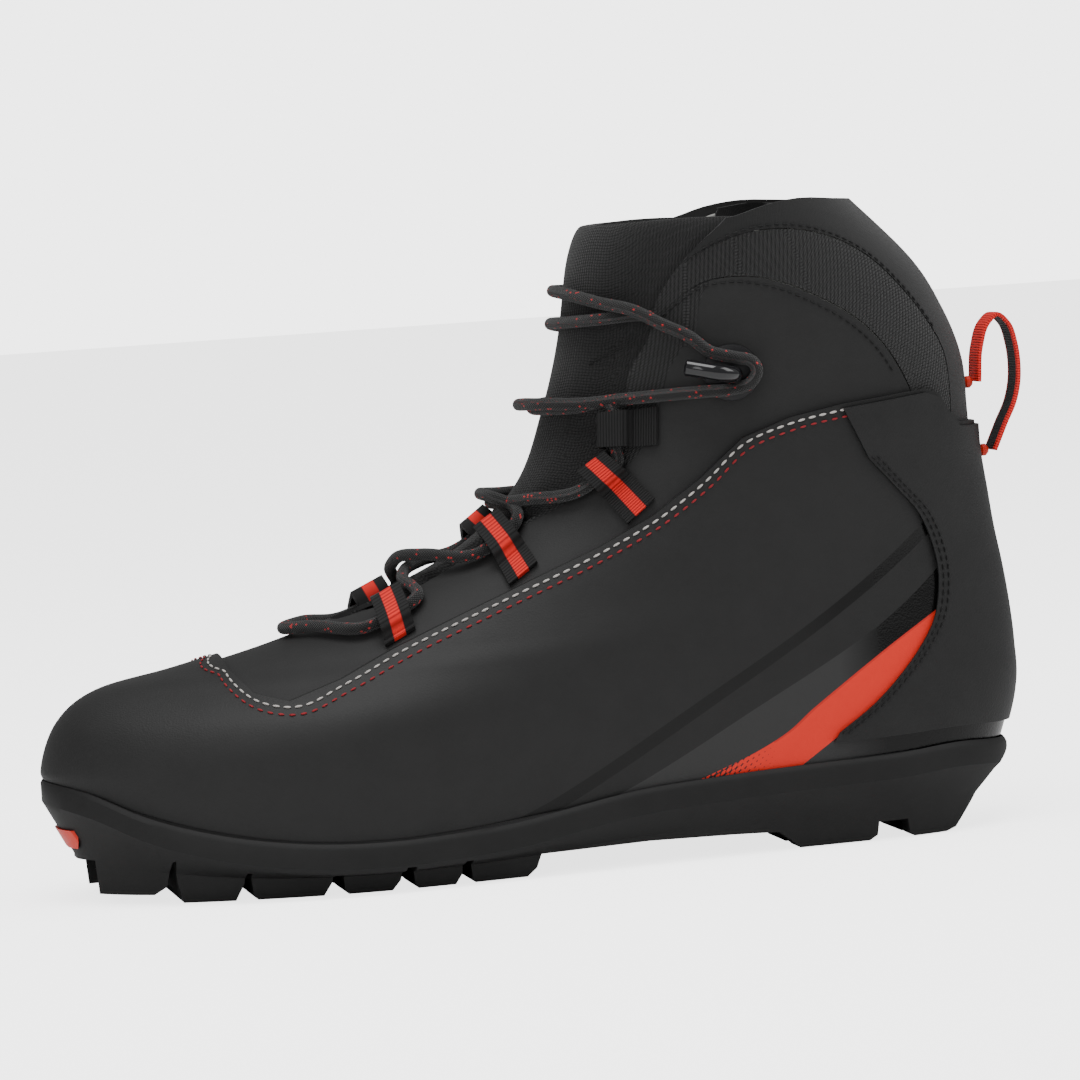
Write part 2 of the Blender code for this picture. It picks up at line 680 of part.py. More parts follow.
def make_panels(slot):
    low_edge = [(-106, 95), (-106, 64), (-98, 55), (-85, 47.5), (-67, 52), (-50, 59.5), (-18, 72),
                (12.8, 84.8), (44, 103), (58, 115), (88, 123), (104, 125), (111.2, 126)]
    layer = ring_layer("panel_whole", panel_inset, panel_inset + panel_wall, "panel",
                       rows=[r for r in ring_rows if r >= 1])
    ankle = copy_as(layer, "ankle_whole", "panel")
    boolean(ankle, side_cutter("ankle_region", low_edge + panel_top + [(-20, 152), (-60, 110)]),
            "INTERSECT")
    boolean(ankle, slot, "DIFFERENCE")
    split(ankle, {"flex": "throat_gusset", "rear": "ankle_panel"}, "panel")
    shift = 1000 * gap
    above_panel = [(x + shift, z + 1.3 * shift) for x, z in panel_top]
    halves = {"outer": (-0.12, -0.002), "inner": (0.002, 0.12)}
    for side, (low_y, high_y) in halves.items():
        name = "collar_mesh_" + side
        piece = copy_as(layer, name, "mesh")
        outline = [(111.6, 123)] + above_panel + mesh_top[::-1]
        boolean(piece, side_cutter(name + "_region", outline, low_y, high_y), "INTERSECT")
        boolean(piece, slot, "DIFFERENCE")
    rim_low = [(x + shift, z + shift) for x, z in mesh_top]
    rim = copy_as(layer, "collar_rim", "panel")
    outline = rim_low + collar_top + [(150, 196), (150, 123)]
    boolean(rim, side_cutter("rim_region", outline), "INTERSECT")
    boolean(rim, slot, "DIFFERENCE")
    forget(layer)


def make_collar_foam(tongue_room):
    foam = ring_layer("collar_foam", lining_inset, lambda row: lining_outer(row) - gap, "foam",
                      rows=[8, 8.6, 9.3, 10, 11, 11.5, 12])
    outline = [(20, 120), (20, 165), (36, 165)] + [(x + 2.5, z - 2.5) for x, z in collar_top[2:]]
    boolean(foam, side_cutter("foam_region", outline + [(150, 193), (150, 120)]), "INTERSECT")
    boolean(foam, tongue_room, "DIFFERENCE")


def make_lining(tongue_room):
    lining = ring_layer("lining_whole", lining_outer, lining_inner, "lining")
    outline = [(-175, -15), (-175, 120), (0, 190)] + [(x, z - 1) for x, z in collar_top[1:]]
    boolean(lining, side_cutter("lining_region", outline + [(150, 195), (150, -15)]), "INTERSECT")
    boolean(lining, tongue_room, "DIFFERENCE")
    split(lining, {"front": "toe_lining", "flex": "lining_flex", "rear": "boot_lining"}, "lining")


def make_stiffeners():
    puff = ring_layer("toe_puff", panel_inset, panel_inset + puff_wall, "foam",
                      rows=[0, 0.5, 1, 1.5, 2, 2.6, 3.2, 4, 5])
    boolean(puff, side_cutter("puff_region", [(-175, -15), (-127, -15), (-127, 90), (-175, 90)]),
            "INTERSECT")
    counter = ring_layer("heel_counter", panel_inset, panel_inset + panel_wall, "foam",
                         rows=[0, 0.5, 1, 1.5, 2, 2.6, 3.2, 4, 5, 5.6])
    outline = [(62, -15), (60, 30), (66, 52), (82, 70), (102, 78), (175, 80), (175, -15)]
    boolean(counter, side_cutter("counter_region", outline), "INTERSECT")


def make_floor():
    board = floor_sheet("board_whole", 0.0012, board_bottom, board_top, "board")
    split(board, {"front": "lasting_board_front", "rear": "lasting_board_rear"}, "board")
    floor_sheet("insole", lining_inset + lining_wall + 0.0012, gap, insole_wall, "lining")
    shank = shank_plate("shank", cup_floor - gap, cup_floor - gap - shank_wall, 0.0, parts_collection)
    return shank


# ---- webbing, hooks and pull loop
# Each row of a strap: mm along it and share of the arch height, first for its face, then its back.
arch_rows = [(0, 0, 0, 0), (0.2, 0.5, 1.0, 0), (0.4, 1, 1.2, 1), (2.0, 1, 2.0, 1), (4.0, 1, 4.0, 1),
             (5.8, 1, 5.8, 1), (6.8, 1, 6.8, 1), (7.8, 1, 7.1, 0), (8.3, 0, 7.6, 0)]
arch_middle = 4.0
arch_height = lace_diameter + 4 * gap
strap_low = panel_inset - 0.0005
strap_high = strap_low - webbing_wall


def strap_place(corners, side, u, down):
    """Row and angle on a strap: u is the share from front to rear edge, down the mm from its top."""
    corners = np.array(corners, float)
    top = corners[0] * (1 - u) + corners[1] * u
    bottom = corners[3] * (1 - u) + corners[2] * u
    x, z = top + (bottom - top) * down / np.linalg.norm(bottom - top)
    return where(x, z, side)


def strap_length(corners):
    corners = np.array(corners, float)
    return min(np.linalg.norm(corners[3] - corners[0]), np.linalg.norm(corners[2] - corners[1]))


def strap(name, corners, side):
    """A webbing strap sewn flat on the side of the boot, arched near its top for the lace.

    The corners run front top, rear top, rear bottom, front bottom, in pattern x, z."""
    rows = list(arch_rows)
    for share in (0.5, 1):
        down = rows[len(arch_rows) - 1][0] * (1 - share) + strap_length(corners) * share
        rows.append((down, 0, down, 0))
    face = np.zeros((len(rows), 4, 3))
    back = np.zeros((len(rows), 4, 3))
    for r, (face_down, face_lift, back_down, back_lift) in enumerate(rows):
        for c, u in enumerate(np.linspace(0, 1, 4)):
            row, angle = strap_place(corners, side, u, face_down)
            face[r, c] = surface([row], [angle], strap_high - face_lift * arch_height)[0]
            row, angle = strap_place(corners, side, u, back_down)
            back[r, c] = surface([row], [angle], strap_low - back_lift * arch_height)[0]
    return thick_sheet(name, face, back, "webbing", False)


def make_loops():
    for side, word in ((-1, "outer"), (1, "inner")):
        for number, corners in loop_corners.items():
            strap("lace_loop_" + number + "_" + word, corners, side)
        strap("ankle_keeper_" + word, keeper_corners, side)


hook_stem = (55.0, 146.8)
hook_tip = (41.5, 150.0)


def hook_frame(side):
    """Where a hook stands: its foot, the way out, the way forward along the panel, and across."""
    foot = surface([where(*hook_stem, side)[0]], [where(*hook_stem, side)[1]], strap_low)[0]
    tip = surface([where(*hook_tip, side)[0]], [where(*hook_tip, side)[1]], strap_low)[0]
    deeper = surface([where(*hook_stem, side)[0]], [where(*hook_stem, side)[1]], strap_low + 0.002)[0]
    out = (foot - deeper) / np.linalg.norm(foot - deeper)
    forward = tip - foot
    forward -= out * forward.dot(out)
    forward /= np.linalg.norm(forward)
    return foot, out, forward, np.cross(out, forward)


pad_wall = 0.0012
rivet_wall = 0.0010


def make_hooks():
    for side, word in ((-1, "outer"), (1, "inner")):
        foot, out, forward, across = hook_frame(side)
        lift = pad_wall / 2 + gap
        cylinder("hook_pad_" + word, foot + out * lift, hook_pad_radius, pad_wall, "rubber",
                 parts_collection, out, 28)
        seat = lift + pad_wall / 2 + gap
        cylinder("hook_rivet_" + word, foot + out * (seat + rivet_wall / 2) + forward * 0.0056,
                 rivet_radius * 0.6, rivet_wall, "steel", parts_collection, out, 16)
        height = pad_wall + lace_diameter + 6 * gap + hook_radius
        root = foot + out * seat
        route = [root, root + out * (height - 0.0028), root + out * height + forward * 0.0028,
                 root + out * height + forward * hook_length]
        tube("hook_" + word, smooth_line(route, 12), hook_radius, "plastic", 3)



# ---- pull loop: a webbing strap whose ends stand off the heel on bartacked anchors
pull_route = [(140.6, 137), (141.8, 148), (144.6, 155.2), (147.6, 157.6), (150.8, 154.8),
              (152.8, 148.4), (153.4, 142), (153, 136), (151.4, 130), (148.4, 124), (144.4, 115.5)]
anchor_radius = 0.0022
anchor_tip = 0.0003


def make_pull_loop():
    line = smooth_line([(x, 0, z) for x, z in pull_route], 25) * grade
    tangent = np.gradient(line, axis=0)
    tangent /= np.linalg.norm(tangent, axis=1, keepdims=True)
    normal = np.cross(tangent, [0, 1, 0])
    across = np.array([0, pull_width / 2, 0])
    sheets = []
    for shift in (-pull_wall / 2, pull_wall / 2):
        middle = line + normal * shift
        sheets.append(np.stack([middle - across, middle, middle + across], axis=1))
    loop = thick_sheet("pull_loop", sheets[0], sheets[1], "red", False)
    ends = {"upper": line[0], "lower": line[-1]}
    surfaces = {"upper": back_surface(pull_route[0][1], panel_inset),
                "lower": back_surface(pull_route[-1][1], -(gap + overlay_wall))}
    for word, end in ends.items():
        tip = end[0] - pull_wall / 2 - gap
        foot = surfaces[word] + gap
        bpy.ops.mesh.primitive_cone_add(vertices=12, radius1=anchor_radius, radius2=anchor_tip,
                                        depth=tip - foot, location=((tip + foot) / 2, 0, end[2]),
                                        rotation=(0, math.pi / 2, 0))
        cone = bpy.context.object
        cone.name = "pull_anchor_" + word
        move_to(cone, "webbing", parts_collection)
    place_origin(loop, line[0])
    return line[0], line[-1]


def back_surface(z, inset):
    """World x of the boot's back at a pattern height."""
    low, high = 0.0, top_row
    for _ in range(40):
        row = (low + high) / 2
        if pattern_point([row], [180])[0][2] > z:
            high = row
        else:
            low = row
    return surface([row], [180], inset)[0][0]


def place_origin(obj, place):
    """Move an object's origin to a world place without moving its shape."""
    place = Vector([float(v) for v in place])
    for vertex in obj.data.vertices:
        vertex.co -= place
    obj.location = place


# ---- lace: route points by row, degrees and height in mm over the ankle panel's face; degrees are
# positive on the boot's outer side and negative on its inner side
def through(corners, side, stops):
    """Lace points under a strap's arch, each stop its share from the front edge and mm down."""
    points = []
    for u, down in stops:
        row, angle = strap_place(corners, side, u, down)
        points.append((row, angle if side < 0 else angle - 360, 2.7))
    return points


straight = [(-0.3, 3.6), (0, arch_middle), (0.5, arch_middle), (1, 4.3), (1.3, 3.8)]
turning = [(-0.3, 3.6), (0, arch_middle), (0.5, arch_middle), (0.9, arch_middle), (1.25, 2.8), (1.35, -0.5)]
keeper_stops = [(0, arch_middle), (0.5, arch_middle), (0.9, arch_middle), (1.25, 2.6), (1.35, -0.5)]


def lace_route():
    """The whole lace from the tucked outer tail, round both hooks, to the tucked inner tail."""
    low, middle, high = loop_corners["1"], loop_corners["2"], loop_corners["3"]
    route = [(9.25, 58, -3.8), (9.6, 60, -3.8), (9.95, 62, -3.8), (10.17, 61, -3.8),
             (10.3, 53, -3.9), (10.35, 44, -1.4), (10.33, 35, 2.9),
             (10.3, 15, 3.3), (10.28, -5, 3.4), (10.22, -25, 3.5), (10.12, -42, 2.8),
             (9.95, -58, 2.9), (9.72, -69, 4.0), (9.57, -76.5, 5.0), (9.47, -80.8, 5.0),
             (9.31, -82, 5.0), (9.14, -80.8, 5.0), (9.05, -75.5, 5.0), (9.06, -69, 4.3),
             (9.07, -58, 2.8), (9.07, -45, 2.9), (9.05, -33, 3.0), (9.03, -15, 3.5),
             (9.0, 0, 3.8), (9.0, 15, 3.5), (9.02, 33, 3.0)]
    route += through(keeper_corners, -1, keeper_stops)[::-1]
    route += through(high, -1, straight[:4])[::-1]
    route += [(7.66, 25, 3.2), (7.62, 10, 3.5), (7.6, 0, 3.8), (7.6, -12, 3.5)]
    route += through(middle, 1, turning)[::-1]
    route += [(6.52, -10, 3.5), (6.38, 0, 3.8), (6.22, 12, 3.5)]
    route += through(low, -1, straight)[::-1]
    route += [(5.17, 20, 2.7), (5.14, 0, 2.7), (5.17, -20, 2.7)]
    route += through(low, 1, straight)
    route += [(6.22, -12, 6.4), (6.38, 0, 8.1), (6.52, 10, 6.6)]
    route += through(middle, -1, turning)
    route += [(7.6, 12, 6.4), (7.6, 0, 8.1), (7.62, -10, 7.2), (7.66, -25, 4.8)]
    route += through(high, 1, straight[:4])
    route += through(keeper_corners, 1, keeper_stops)
    route += [(9.02, -33, 3.8), (9.0, -15, 7.5), (9.0, 0, 8.2), (9.03, 15, 7.5), (9.05, 33, 3.8),
              (9.07, 45, 2.9), (9.07, 58, 2.8), (9.06, 69, 4.3), (9.05, 75.5, 5.0),
              (9.14, 80.8, 5.0), (9.31, 82, 5.0), (9.47, 80.8, 5.0), (9.57, 76.5, 5.0),
              (9.72, 69, 4.0), (9.95, 64, 3.2), (10.2, 55, 3.8), (10.42, 46, 3.7),
              (10.56, 32, 3.3), (10.68, 16, 3.3), (10.73, 0, 3.8), (10.73, -18, 3.5),
              (10.72, -34, 2.0), (10.7, -44, -1.6), (10.62, -53, -3.9), (10.45, -61, -3.8),
              (10.2, -63.5, -3.8), (9.9, -62, -3.8), (9.6, -60, -3.8), (9.25, -58, -3.8)]
    return np.array(route, float)


lace_points = 150
aglet_length = 0.014
aglet_radius = 0.0017


def lace_path():
    route = lace_route()
    height = np.where(route[:, 2] > 0, route[:, 2] * lace_diameter / 3.8, route[:, 2] / 1000)
    places = surface(route[:, 0], route[:, 1], panel_inset - height)
    return smooth_line(places, lace_points)


def make_lace():
    """The lace, its two aglets, and the room that its tucked tails press into the tongue."""
    path = lace_path()
    tube("lace", path, lace_diameter / 2, "lace", 2)
    rooms = []
    for word, end, before in (("outer", path[0], path[1]), ("inner", path[-1], path[-2])):
        along = (end - before) / np.linalg.norm(end - before)
        cylinder("aglet_" + word, end + along * (gap + aglet_length / 2), aglet_radius,
                 aglet_length, "plastic", parts_collection, along, 12)
    tail = 26
    for word, stretch in (("outer", path[:tail]), ("inner", path[-tail:])):
        tip = stretch[0] if word == "outer" else stretch[-1]
        before = stretch[1] if word == "outer" else stretch[-2]
        far = tip + (tip - before) / np.linalg.norm(tip - before) * (aglet_length + 3 * gap)
        line = [far, *stretch] if word == "outer" else [*stretch, far]
        room = tube("tail_room_" + word, line, lace_diameter / 2 + gap, "lace", 2)
        rooms.append(mesh_of_curve(room))
    return rooms


def mesh_of_curve(obj):
    """Turn a tube into a closed mesh cutter."""
    bpy.context.view_layer.update()
    mesh = bpy.data.meshes.new_from_object(obj.evaluated_get(bpy.context.evaluated_depsgraph_get()))
    bm = bmesh.new()
    bm.from_mesh(mesh)
    bmesh.ops.remove_doubles(bm, verts=bm.verts, dist=0.00001)
    bmesh.ops.recalc_face_normals(bm, faces=bm.faces)
    bm.to_mesh(mesh)
    bm.free()
    new = bpy.data.objects.new(obj.name + "_cutter", mesh)
    new.matrix_world = obj.matrix_world
    cutter_collection.objects.link(new)
    forget(obj)
    return as_cutter(new)


# ---- the boot
def main():
    make_outsole()
    centre = binding_bar_place()
    cylinder("binding_bar", centre, bar_radius, bar_length, "steel", parts_collection)
    box("toe_insert", insert_low, insert_high, "red", parts_collection)
    make_floor()
    make_shell()
    make_heel_overlay()
    make_stiffeners()
    slot = make_slot_cutter()
    make_panels(slot)
    tongue_room = make_tongue()
    make_collar_foam(tongue_room)
    make_lining(tongue_room)
    make_loops()
    make_hooks()
    make_pull_loop()
    for room in make_lace():
        boolean(bpy.data.objects["tongue"], room, "DIFFERENCE")
    for obj in bpy.data.objects:
        obj.location -= Vector(middle_offset)


main()
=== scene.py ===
import math

import bmesh
import bpy
import numpy as np
from mathutils import Matrix, Vector
from mathutils.kdtree import KDTree


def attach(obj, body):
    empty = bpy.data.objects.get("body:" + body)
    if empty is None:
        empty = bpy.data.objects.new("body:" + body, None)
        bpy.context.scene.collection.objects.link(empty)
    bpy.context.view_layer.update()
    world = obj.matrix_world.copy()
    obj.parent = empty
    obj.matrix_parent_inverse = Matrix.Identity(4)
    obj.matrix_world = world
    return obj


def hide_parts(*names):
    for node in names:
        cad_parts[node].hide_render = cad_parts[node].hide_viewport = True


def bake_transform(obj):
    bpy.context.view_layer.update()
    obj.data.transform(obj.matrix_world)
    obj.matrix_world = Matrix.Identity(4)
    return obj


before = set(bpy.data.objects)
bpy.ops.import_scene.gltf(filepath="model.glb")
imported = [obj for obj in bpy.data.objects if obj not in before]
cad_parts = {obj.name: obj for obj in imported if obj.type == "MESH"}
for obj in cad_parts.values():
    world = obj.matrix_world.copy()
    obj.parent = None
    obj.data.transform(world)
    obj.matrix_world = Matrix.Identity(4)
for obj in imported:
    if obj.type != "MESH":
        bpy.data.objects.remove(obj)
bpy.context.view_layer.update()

# sizes in metres, outlines in pattern mm
bootLength = 0.3050
bootHeight = 0.200
ballWidth = 0.1000
patternLength = 298.8
patternHeight = 200.0
patternWidth = 100.0
shellWall = 0.0016
panelWall = 0.0014
liningWall = 0.0024
gap = 0.0003
overlayWall = 0.0010
tongueWall = 0.0046
collarPad = 0.0056
lastingTuck = 0.0035
boardWall = 0.0018
insoleWall = 0.0040
barRadius = 0.0020
barLength = 0.0340
barHeight = 0.0078
pocketWidth = 0.0260
pocketLength = 0.0150
pocketDepth = 0.0130
guideWidth = 0.0070
guideSpacing = 0.0280
guideDepth = 0.0050
webbingWall = 0.0014
laceDiameter = 0.0038
rivetRadius = 0.0032
hookLength = 0.0150
hookRadius = 0.0026
hookPadRadius = 0.0085
pullWidth = 0.0105
pullWall = 0.0014
grade = np.array([bootLength / patternLength, ballWidth / patternWidth,
                  bootHeight / patternHeight])
frontLine = [(-150, 31), (-152.5, 40), (-147, 54), (-135, 63), (-112, 68), (-82, 75.5),
              (-50, 86.5), (-23, 99.5), (-5, 117), (4, 138), (10, 158), (14, 180), (19, 206)]
backLine = [(140, 22), (146, 42), (146.3, 56), (145.5, 68), (144, 80), (142, 92),
             (140.5, 104), (139, 116), (138.5, 130), (137.5, 146), (132, 162), (122, 179), (99, 203)]
girthRows = [0, 1.5, 3, 5, 8, 12]
girths = [(50, 53, 52, 39, 37, 48, 52),
          (54, 57, 54, 42, 39, 47, 51),
          (34, 37, 41, 41, 39, 44, 46),
          (28, 31, 35, 37, 38, 41, 42),
          (29, 32, 36, 38, 40, 42, 42),
          (38, 40, 41, 42, 43, 44, 44)]
featherX = [-154, -141, -127, -108, -89, -62, -40, -17, 1, 12, 45, 75, 99, 124, 137, 150]
featherZ = [38, 33.5, 26.5, 20.5, 17, 15, 15.4, 17, 20, 21.8, 24.3, 25.3, 25.9, 27.2, 26, 25]
toeSwing = 6.0
waistHollow = 3.5
throatEdge = [(-97.9, 76), (-97.4, 68.1), (-92.5, 61.5), (-83.1, 58.8), (-67.2, 64), (-50.3, 71.5),
               (-18.4, 84.1), (12.8, 96.8), (29, 105), (44.1, 115.6), (56.9, 126.7), (71.9, 132),
               (88, 134.8), (115.8, 137.4), (121.3, 135.5), (124, 130.6), (128.6, 126), (160, 124)]
overlayFront = [(86.5, 131.3), (95.7, 117.7), (104.2, 108.5), (112.2, 99.4), (116.3, 90.2),
                 (117.9, 82.4), (117.2, 72.4), (115.8, 67.3), (109.3, 57.4), (103.6, 51.1),
                 (94.1, 42.4), (82.8, 34.7), (71.8, 28.6)]
panelTop = [(111.2, 137.5), (108.5, 143), (102.8, 152), (93.5, 161), (82.9, 167.4), (70.7, 173),
             (58.3, 175.5), (48.4, 174.3), (40.1, 168.9), (31.1, 161.2), (14, 152)]
meshTop = [(125.9, 123), (126.1, 137.5), (124.6, 148.3), (118.6, 159.1), (110.4, 169.2),
            (99.8, 179.2), (86.9, 186), (74.1, 188.9), (61.2, 188.4), (46.9, 183), (35.5, 174.8),
            (30, 171), (14, 160)]
collarTop = [(10, 160), (28.5, 171), (38.9, 184), (49.8, 192.2), (58.4, 193.8), (68.3, 196.6),
              (78.8, 198), (91.4, 197.2), (112, 196)]
slotRows = [5.5, 5.8, 6.4, 7.1, 7.5, 8, 8.5, 9, 9.5, 10, 10.6, 11.2, 11.6, 12]
slotAngles = [8, 19, 19, 20, 32, 44, 47, 46, 45, 50, 53, 66, 82, 95]
soleProfile = [(-160, 60), (-160, 33), (-153.4, 33), (-149.1, 20.4), (-147, 14), (-144.3, 7.9),
                (-139, 2.8), (-124.5, 2.6), (-121, 5), (-119.5, 13), (-118.6, 13.2), (-118, 6),
                (-116.5, 0), (-102, 0), (-99.5, 5), (-98.9, 8.5), (-97.6, 8.5), (-96.9, 1),
                (-95.7, 0), (-77, 0), (-74.5, 4), (-74.1, 6.2), (-71.3, 6.2), (-70.8, 1),
                (-69.8, 0), (-57, 0), (-54.5, 3), (-53.6, 7.5), (-50.8, 7.5), (-50.2, 1),
                (-49.2, 0), (-38, 0), (-36, 3), (-35.6, 7.5), (-33.4, 7.5), (-32.8, 1),
                (-32, 0), (-16, 0), (-13, 2.5), (-11.5, 6.5), (22, 7), (48, 6.2), (63, 5.5),
                (67.5, 2), (69.5, 0), (91.5, 0), (94.1, 1.5), (94.7, 5.5), (104, 5.5),
                (104.6, 0.8), (106, 0), (117, 0), (120.5, 1), (135, 17.5), (146, 26), (160, 30),
                (160, 60)]
treadInsetAngles = [0, 30, 60, 90, 120, 150, 180]
treadInsets = [7, 4, 6, 3, 3, 3, 6]
loopCorners = {
    "1": [(-52.5, 82.4), (-43.2, 87.0), (-43.0, 76.4), (-52.6, 72.8)],
    "2": [(-18.1, 101.6), (-10.2, 107.4), (-4.4, 92.2), (-14.2, 87.8)],
    "3": [(11.3, 118.9), (18.9, 125.2), (31.4, 108.9), (21.8, 103.4)],
}
keeperCorners = [(17.2, 126), (18.2, 136.5), (33.5, 138), (33, 126.5)]
topRow = 12.0
panelInset = shellWall + gap
liningInset = panelInset + panelWall + gap
tongueInset = liningInset + gap


def spline(knots, values, at):
    # smooth curve through values at uneven knots, for an array of places
    knots = np.asarray(knots, float)
    values = np.asarray(values, float)
    if values.ndim == 1:
        values = values[:, None]
    at = np.clip(np.atleast_1d(np.asarray(at, float)), knots[0], knots[-1])
    slopes = np.gradient(values, knots, axis=0)
    i = np.clip(np.searchsorted(knots, at, side="right") - 1, 0, len(knots) - 2)
    step = (knots[i + 1] - knots[i])[:, None]
    u = (at - knots[i])[:, None] / step
    a = values[i] * (1 + 2 * u) * (1 - u) ** 2
    b = slopes[i] * step * u * (1 - u) ** 2
    c = values[i + 1] * u * u * (3 - 2 * u)
    d = slopes[i + 1] * step * u * u * (u - 1)
    return a + b + c + d


def feather(x):
    # height of the line where upper meets sole, in pattern mm
    return spline(featherX, featherZ, x)[:, 0]


def surface(row, angle, inset=0.0):
    # world point on the surface of the boot, moved inwards by inset
    row, angle, inset = np.broadcast_arrays(np.asarray(row, float), np.asarray(angle, float),
                                            np.asarray(inset, float))
    here = patternPoint(row, angle) * grade
    dr, da = 0.02, 0.5
    alongRow = (patternPoint(np.minimum(row + dr, topRow), angle)
                 - patternPoint(np.maximum(row - dr, 0), angle)) * grade
    around = (patternPoint(row, angle + da) - patternPoint(row, angle - da)) * grade
    normal = np.cross(alongRow, around)
    normal /= np.maximum(np.linalg.norm(normal, axis=-1, keepdims=True), 1e-9)
    return here + normal * inset[..., None]


def whereAll(x, z):
    # rows and turns of the surface points seen from the side at pattern x, z
    x, z = np.broadcast_arrays(np.asarray(x, float), np.asarray(z, float))
    low, high = np.zeros(x.shape), np.full(x.shape, topRow)
    rows = np.arange(len(frontLine))
    for _ in range(24):
        row = (low + high) / 2
        front = spline(rows, frontLine, row.ravel())[:, 0].reshape(x.shape)
        back = spline(rows, backLine, row.ravel())[:, 0].reshape(x.shape)
        along = (x - front) / (back - front)
        turn = np.degrees(np.arccos(np.clip(1 - 2 * along, -1, 1)))
        above = (along < 0) | (patternPoint(row, turn)[..., 2] > z)
        high = np.where(above, row, high)
        low = np.where(above, low, row)
    return row, turn


def where(x, z, side):
    # the same for one point.  side -1 is outer
    row, turn = whereAll([x], [z])
    return row[0], (turn[0] if side < 0 else 360.0 - turn[0])


def smoothLine(points, count):
    # even points on a smooth curve through the given ones
    points = np.asarray(points, float)
    steps = np.r_[0, np.cumsum(np.linalg.norm(np.diff(points, axis=0), axis=1))]
    fine = spline(steps, points, np.linspace(0, steps[-1], 2000))
    run = np.r_[0, np.cumsum(np.linalg.norm(np.diff(fine, axis=0), axis=1))]
    at = np.linspace(0, run[-1], count)
    return np.stack([np.interp(at, run, fine[:, k]) for k in range(3)], axis=1)


def slotAngle(row):
    return spline(slotRows, slotAngles, row)[:, 0]


def strapPlace(corners, side, u, down):
    # row and angle on a strap: u is the share from front to rear edge, down the mm from its top
    corners = np.array(corners, float)
    top = corners[0] * (1 - u) + corners[1] * u
    bottom = corners[3] * (1 - u) + corners[2] * u
    x, z = top + (bottom - top) * down / np.linalg.norm(bottom - top)
    return where(x, z, side)


def strapLength(corners):
    corners = np.array(corners, float)
    return min(np.linalg.norm(corners[3] - corners[0]), np.linalg.norm(corners[2] - corners[1]))


def hookFrame(side):
    # where a hook stands: its foot, the way out, the way forward along the panel, and across
    foot = surface([where(*hookStem, side)[0]], [where(*hookStem, side)[1]], strapLow)[0]
    tip = surface([where(*hookTip, side)[0]], [where(*hookTip, side)[1]], strapLow)[0]
    deeper = surface([where(*hookStem, side)[0]], [where(*hookStem, side)[1]], strapLow + 0.002)[0]
    out = (foot - deeper) / np.linalg.norm(foot - deeper)
    forward = tip - foot
    forward -= out * forward.dot(out)
    forward /= np.linalg.norm(forward)
    return foot, out, forward, np.cross(out, forward)


def backSurface(z, inset):
    # world x of the boot's back at a pattern height
    low, high = 0.0, topRow
    for _ in range(40):
        row = (low + high) / 2
        if patternPoint([row], [180])[0][2] > z:
            high = row
        else:
            low = row
    return surface([row], [180], inset)[0][0]


def through(corners, side, stops):
    # lace points under a strap's arch, each stop its share from the front edge and mm down
    points = []
    for u, down in stops:
        row, angle = strapPlace(corners, side, u, down)
        points.append((row, angle if side < 0 else angle - 360, 2.7))
    return points


def laceRoute():
    # the whole lace from the tucked outer tail, round both hooks, to the tucked inner tail
    low, middle, high = loopCorners["1"], loopCorners["2"], loopCorners["3"]
    route = [(9.25, 58, -3.8), (9.6, 60, -3.8), (9.95, 62, -3.8), (10.17, 61, -3.8),
             (10.3, 53, -3.9), (10.35, 44, -1.4), (10.33, 35, 2.9),
             (10.3, 15, 3.3), (10.28, -5, 3.4), (10.22, -25, 3.5), (10.12, -42, 2.8),
             (9.95, -58, 2.9), (9.72, -69, 4.0), (9.57, -76.5, 5.0), (9.47, -80.8, 5.0),
             (9.31, -82, 5.0), (9.14, -80.8, 5.0), (9.05, -75.5, 5.0), (9.06, -69, 4.3),
             (9.07, -58, 2.8), (9.07, -45, 2.9), (9.05, -33, 3.0), (9.03, -15, 3.5),
             (9.0, 0, 3.8), (9.0, 15, 3.5), (9.02, 33, 3.0)]
    route += through(keeperCorners, -1, keeperStops)[::-1]
    route += through(high, -1, straight[:4])[::-1]
    route += [(7.66, 25, 3.2), (7.62, 10, 3.5), (7.6, 0, 3.8), (7.6, -12, 3.5)]
    route += through(middle, 1, turning)[::-1]
    route += [(6.52, -10, 3.5), (6.38, 0, 3.8), (6.22, 12, 3.5)]
    route += through(low, -1, straight)[::-1]
    route += [(5.17, 20, 2.7), (5.14, 0, 2.7), (5.17, -20, 2.7)]
    route += through(low, 1, straight)
    route += [(6.22, -12, 6.4), (6.38, 0, 8.1), (6.52, 10, 6.6)]
    route += through(middle, -1, turning)
    route += [(7.6, 12, 6.4), (7.6, 0, 8.1), (7.62, -10, 7.2), (7.66, -25, 4.8)]
    route += through(high, 1, straight[:4])
    route += through(keeperCorners, 1, keeperStops)
    route += [(9.02, -33, 3.8), (9.0, -15, 7.5), (9.0, 0, 8.2), (9.03, 15, 7.5), (9.05, 33, 3.8),
              (9.07, 45, 2.9), (9.07, 58, 2.8), (9.06, 69, 4.3), (9.05, 75.5, 5.0),
              (9.14, 80.8, 5.0), (9.31, 82, 5.0), (9.47, 80.8, 5.0), (9.57, 76.5, 5.0),
              (9.72, 69, 4.0), (9.95, 64, 3.2), (10.2, 55, 3.8), (10.42, 46, 3.7),
              (10.56, 32, 3.3), (10.68, 16, 3.3), (10.73, 0, 3.8), (10.73, -18, 3.5),
              (10.72, -34, 2.0), (10.7, -44, -1.6), (10.62, -53, -3.9), (10.45, -61, -3.8),
              (10.2, -63.5, -3.8), (9.9, -62, -3.8), (9.6, -60, -3.8), (9.25, -58, -3.8)]
    return np.array(route, float)


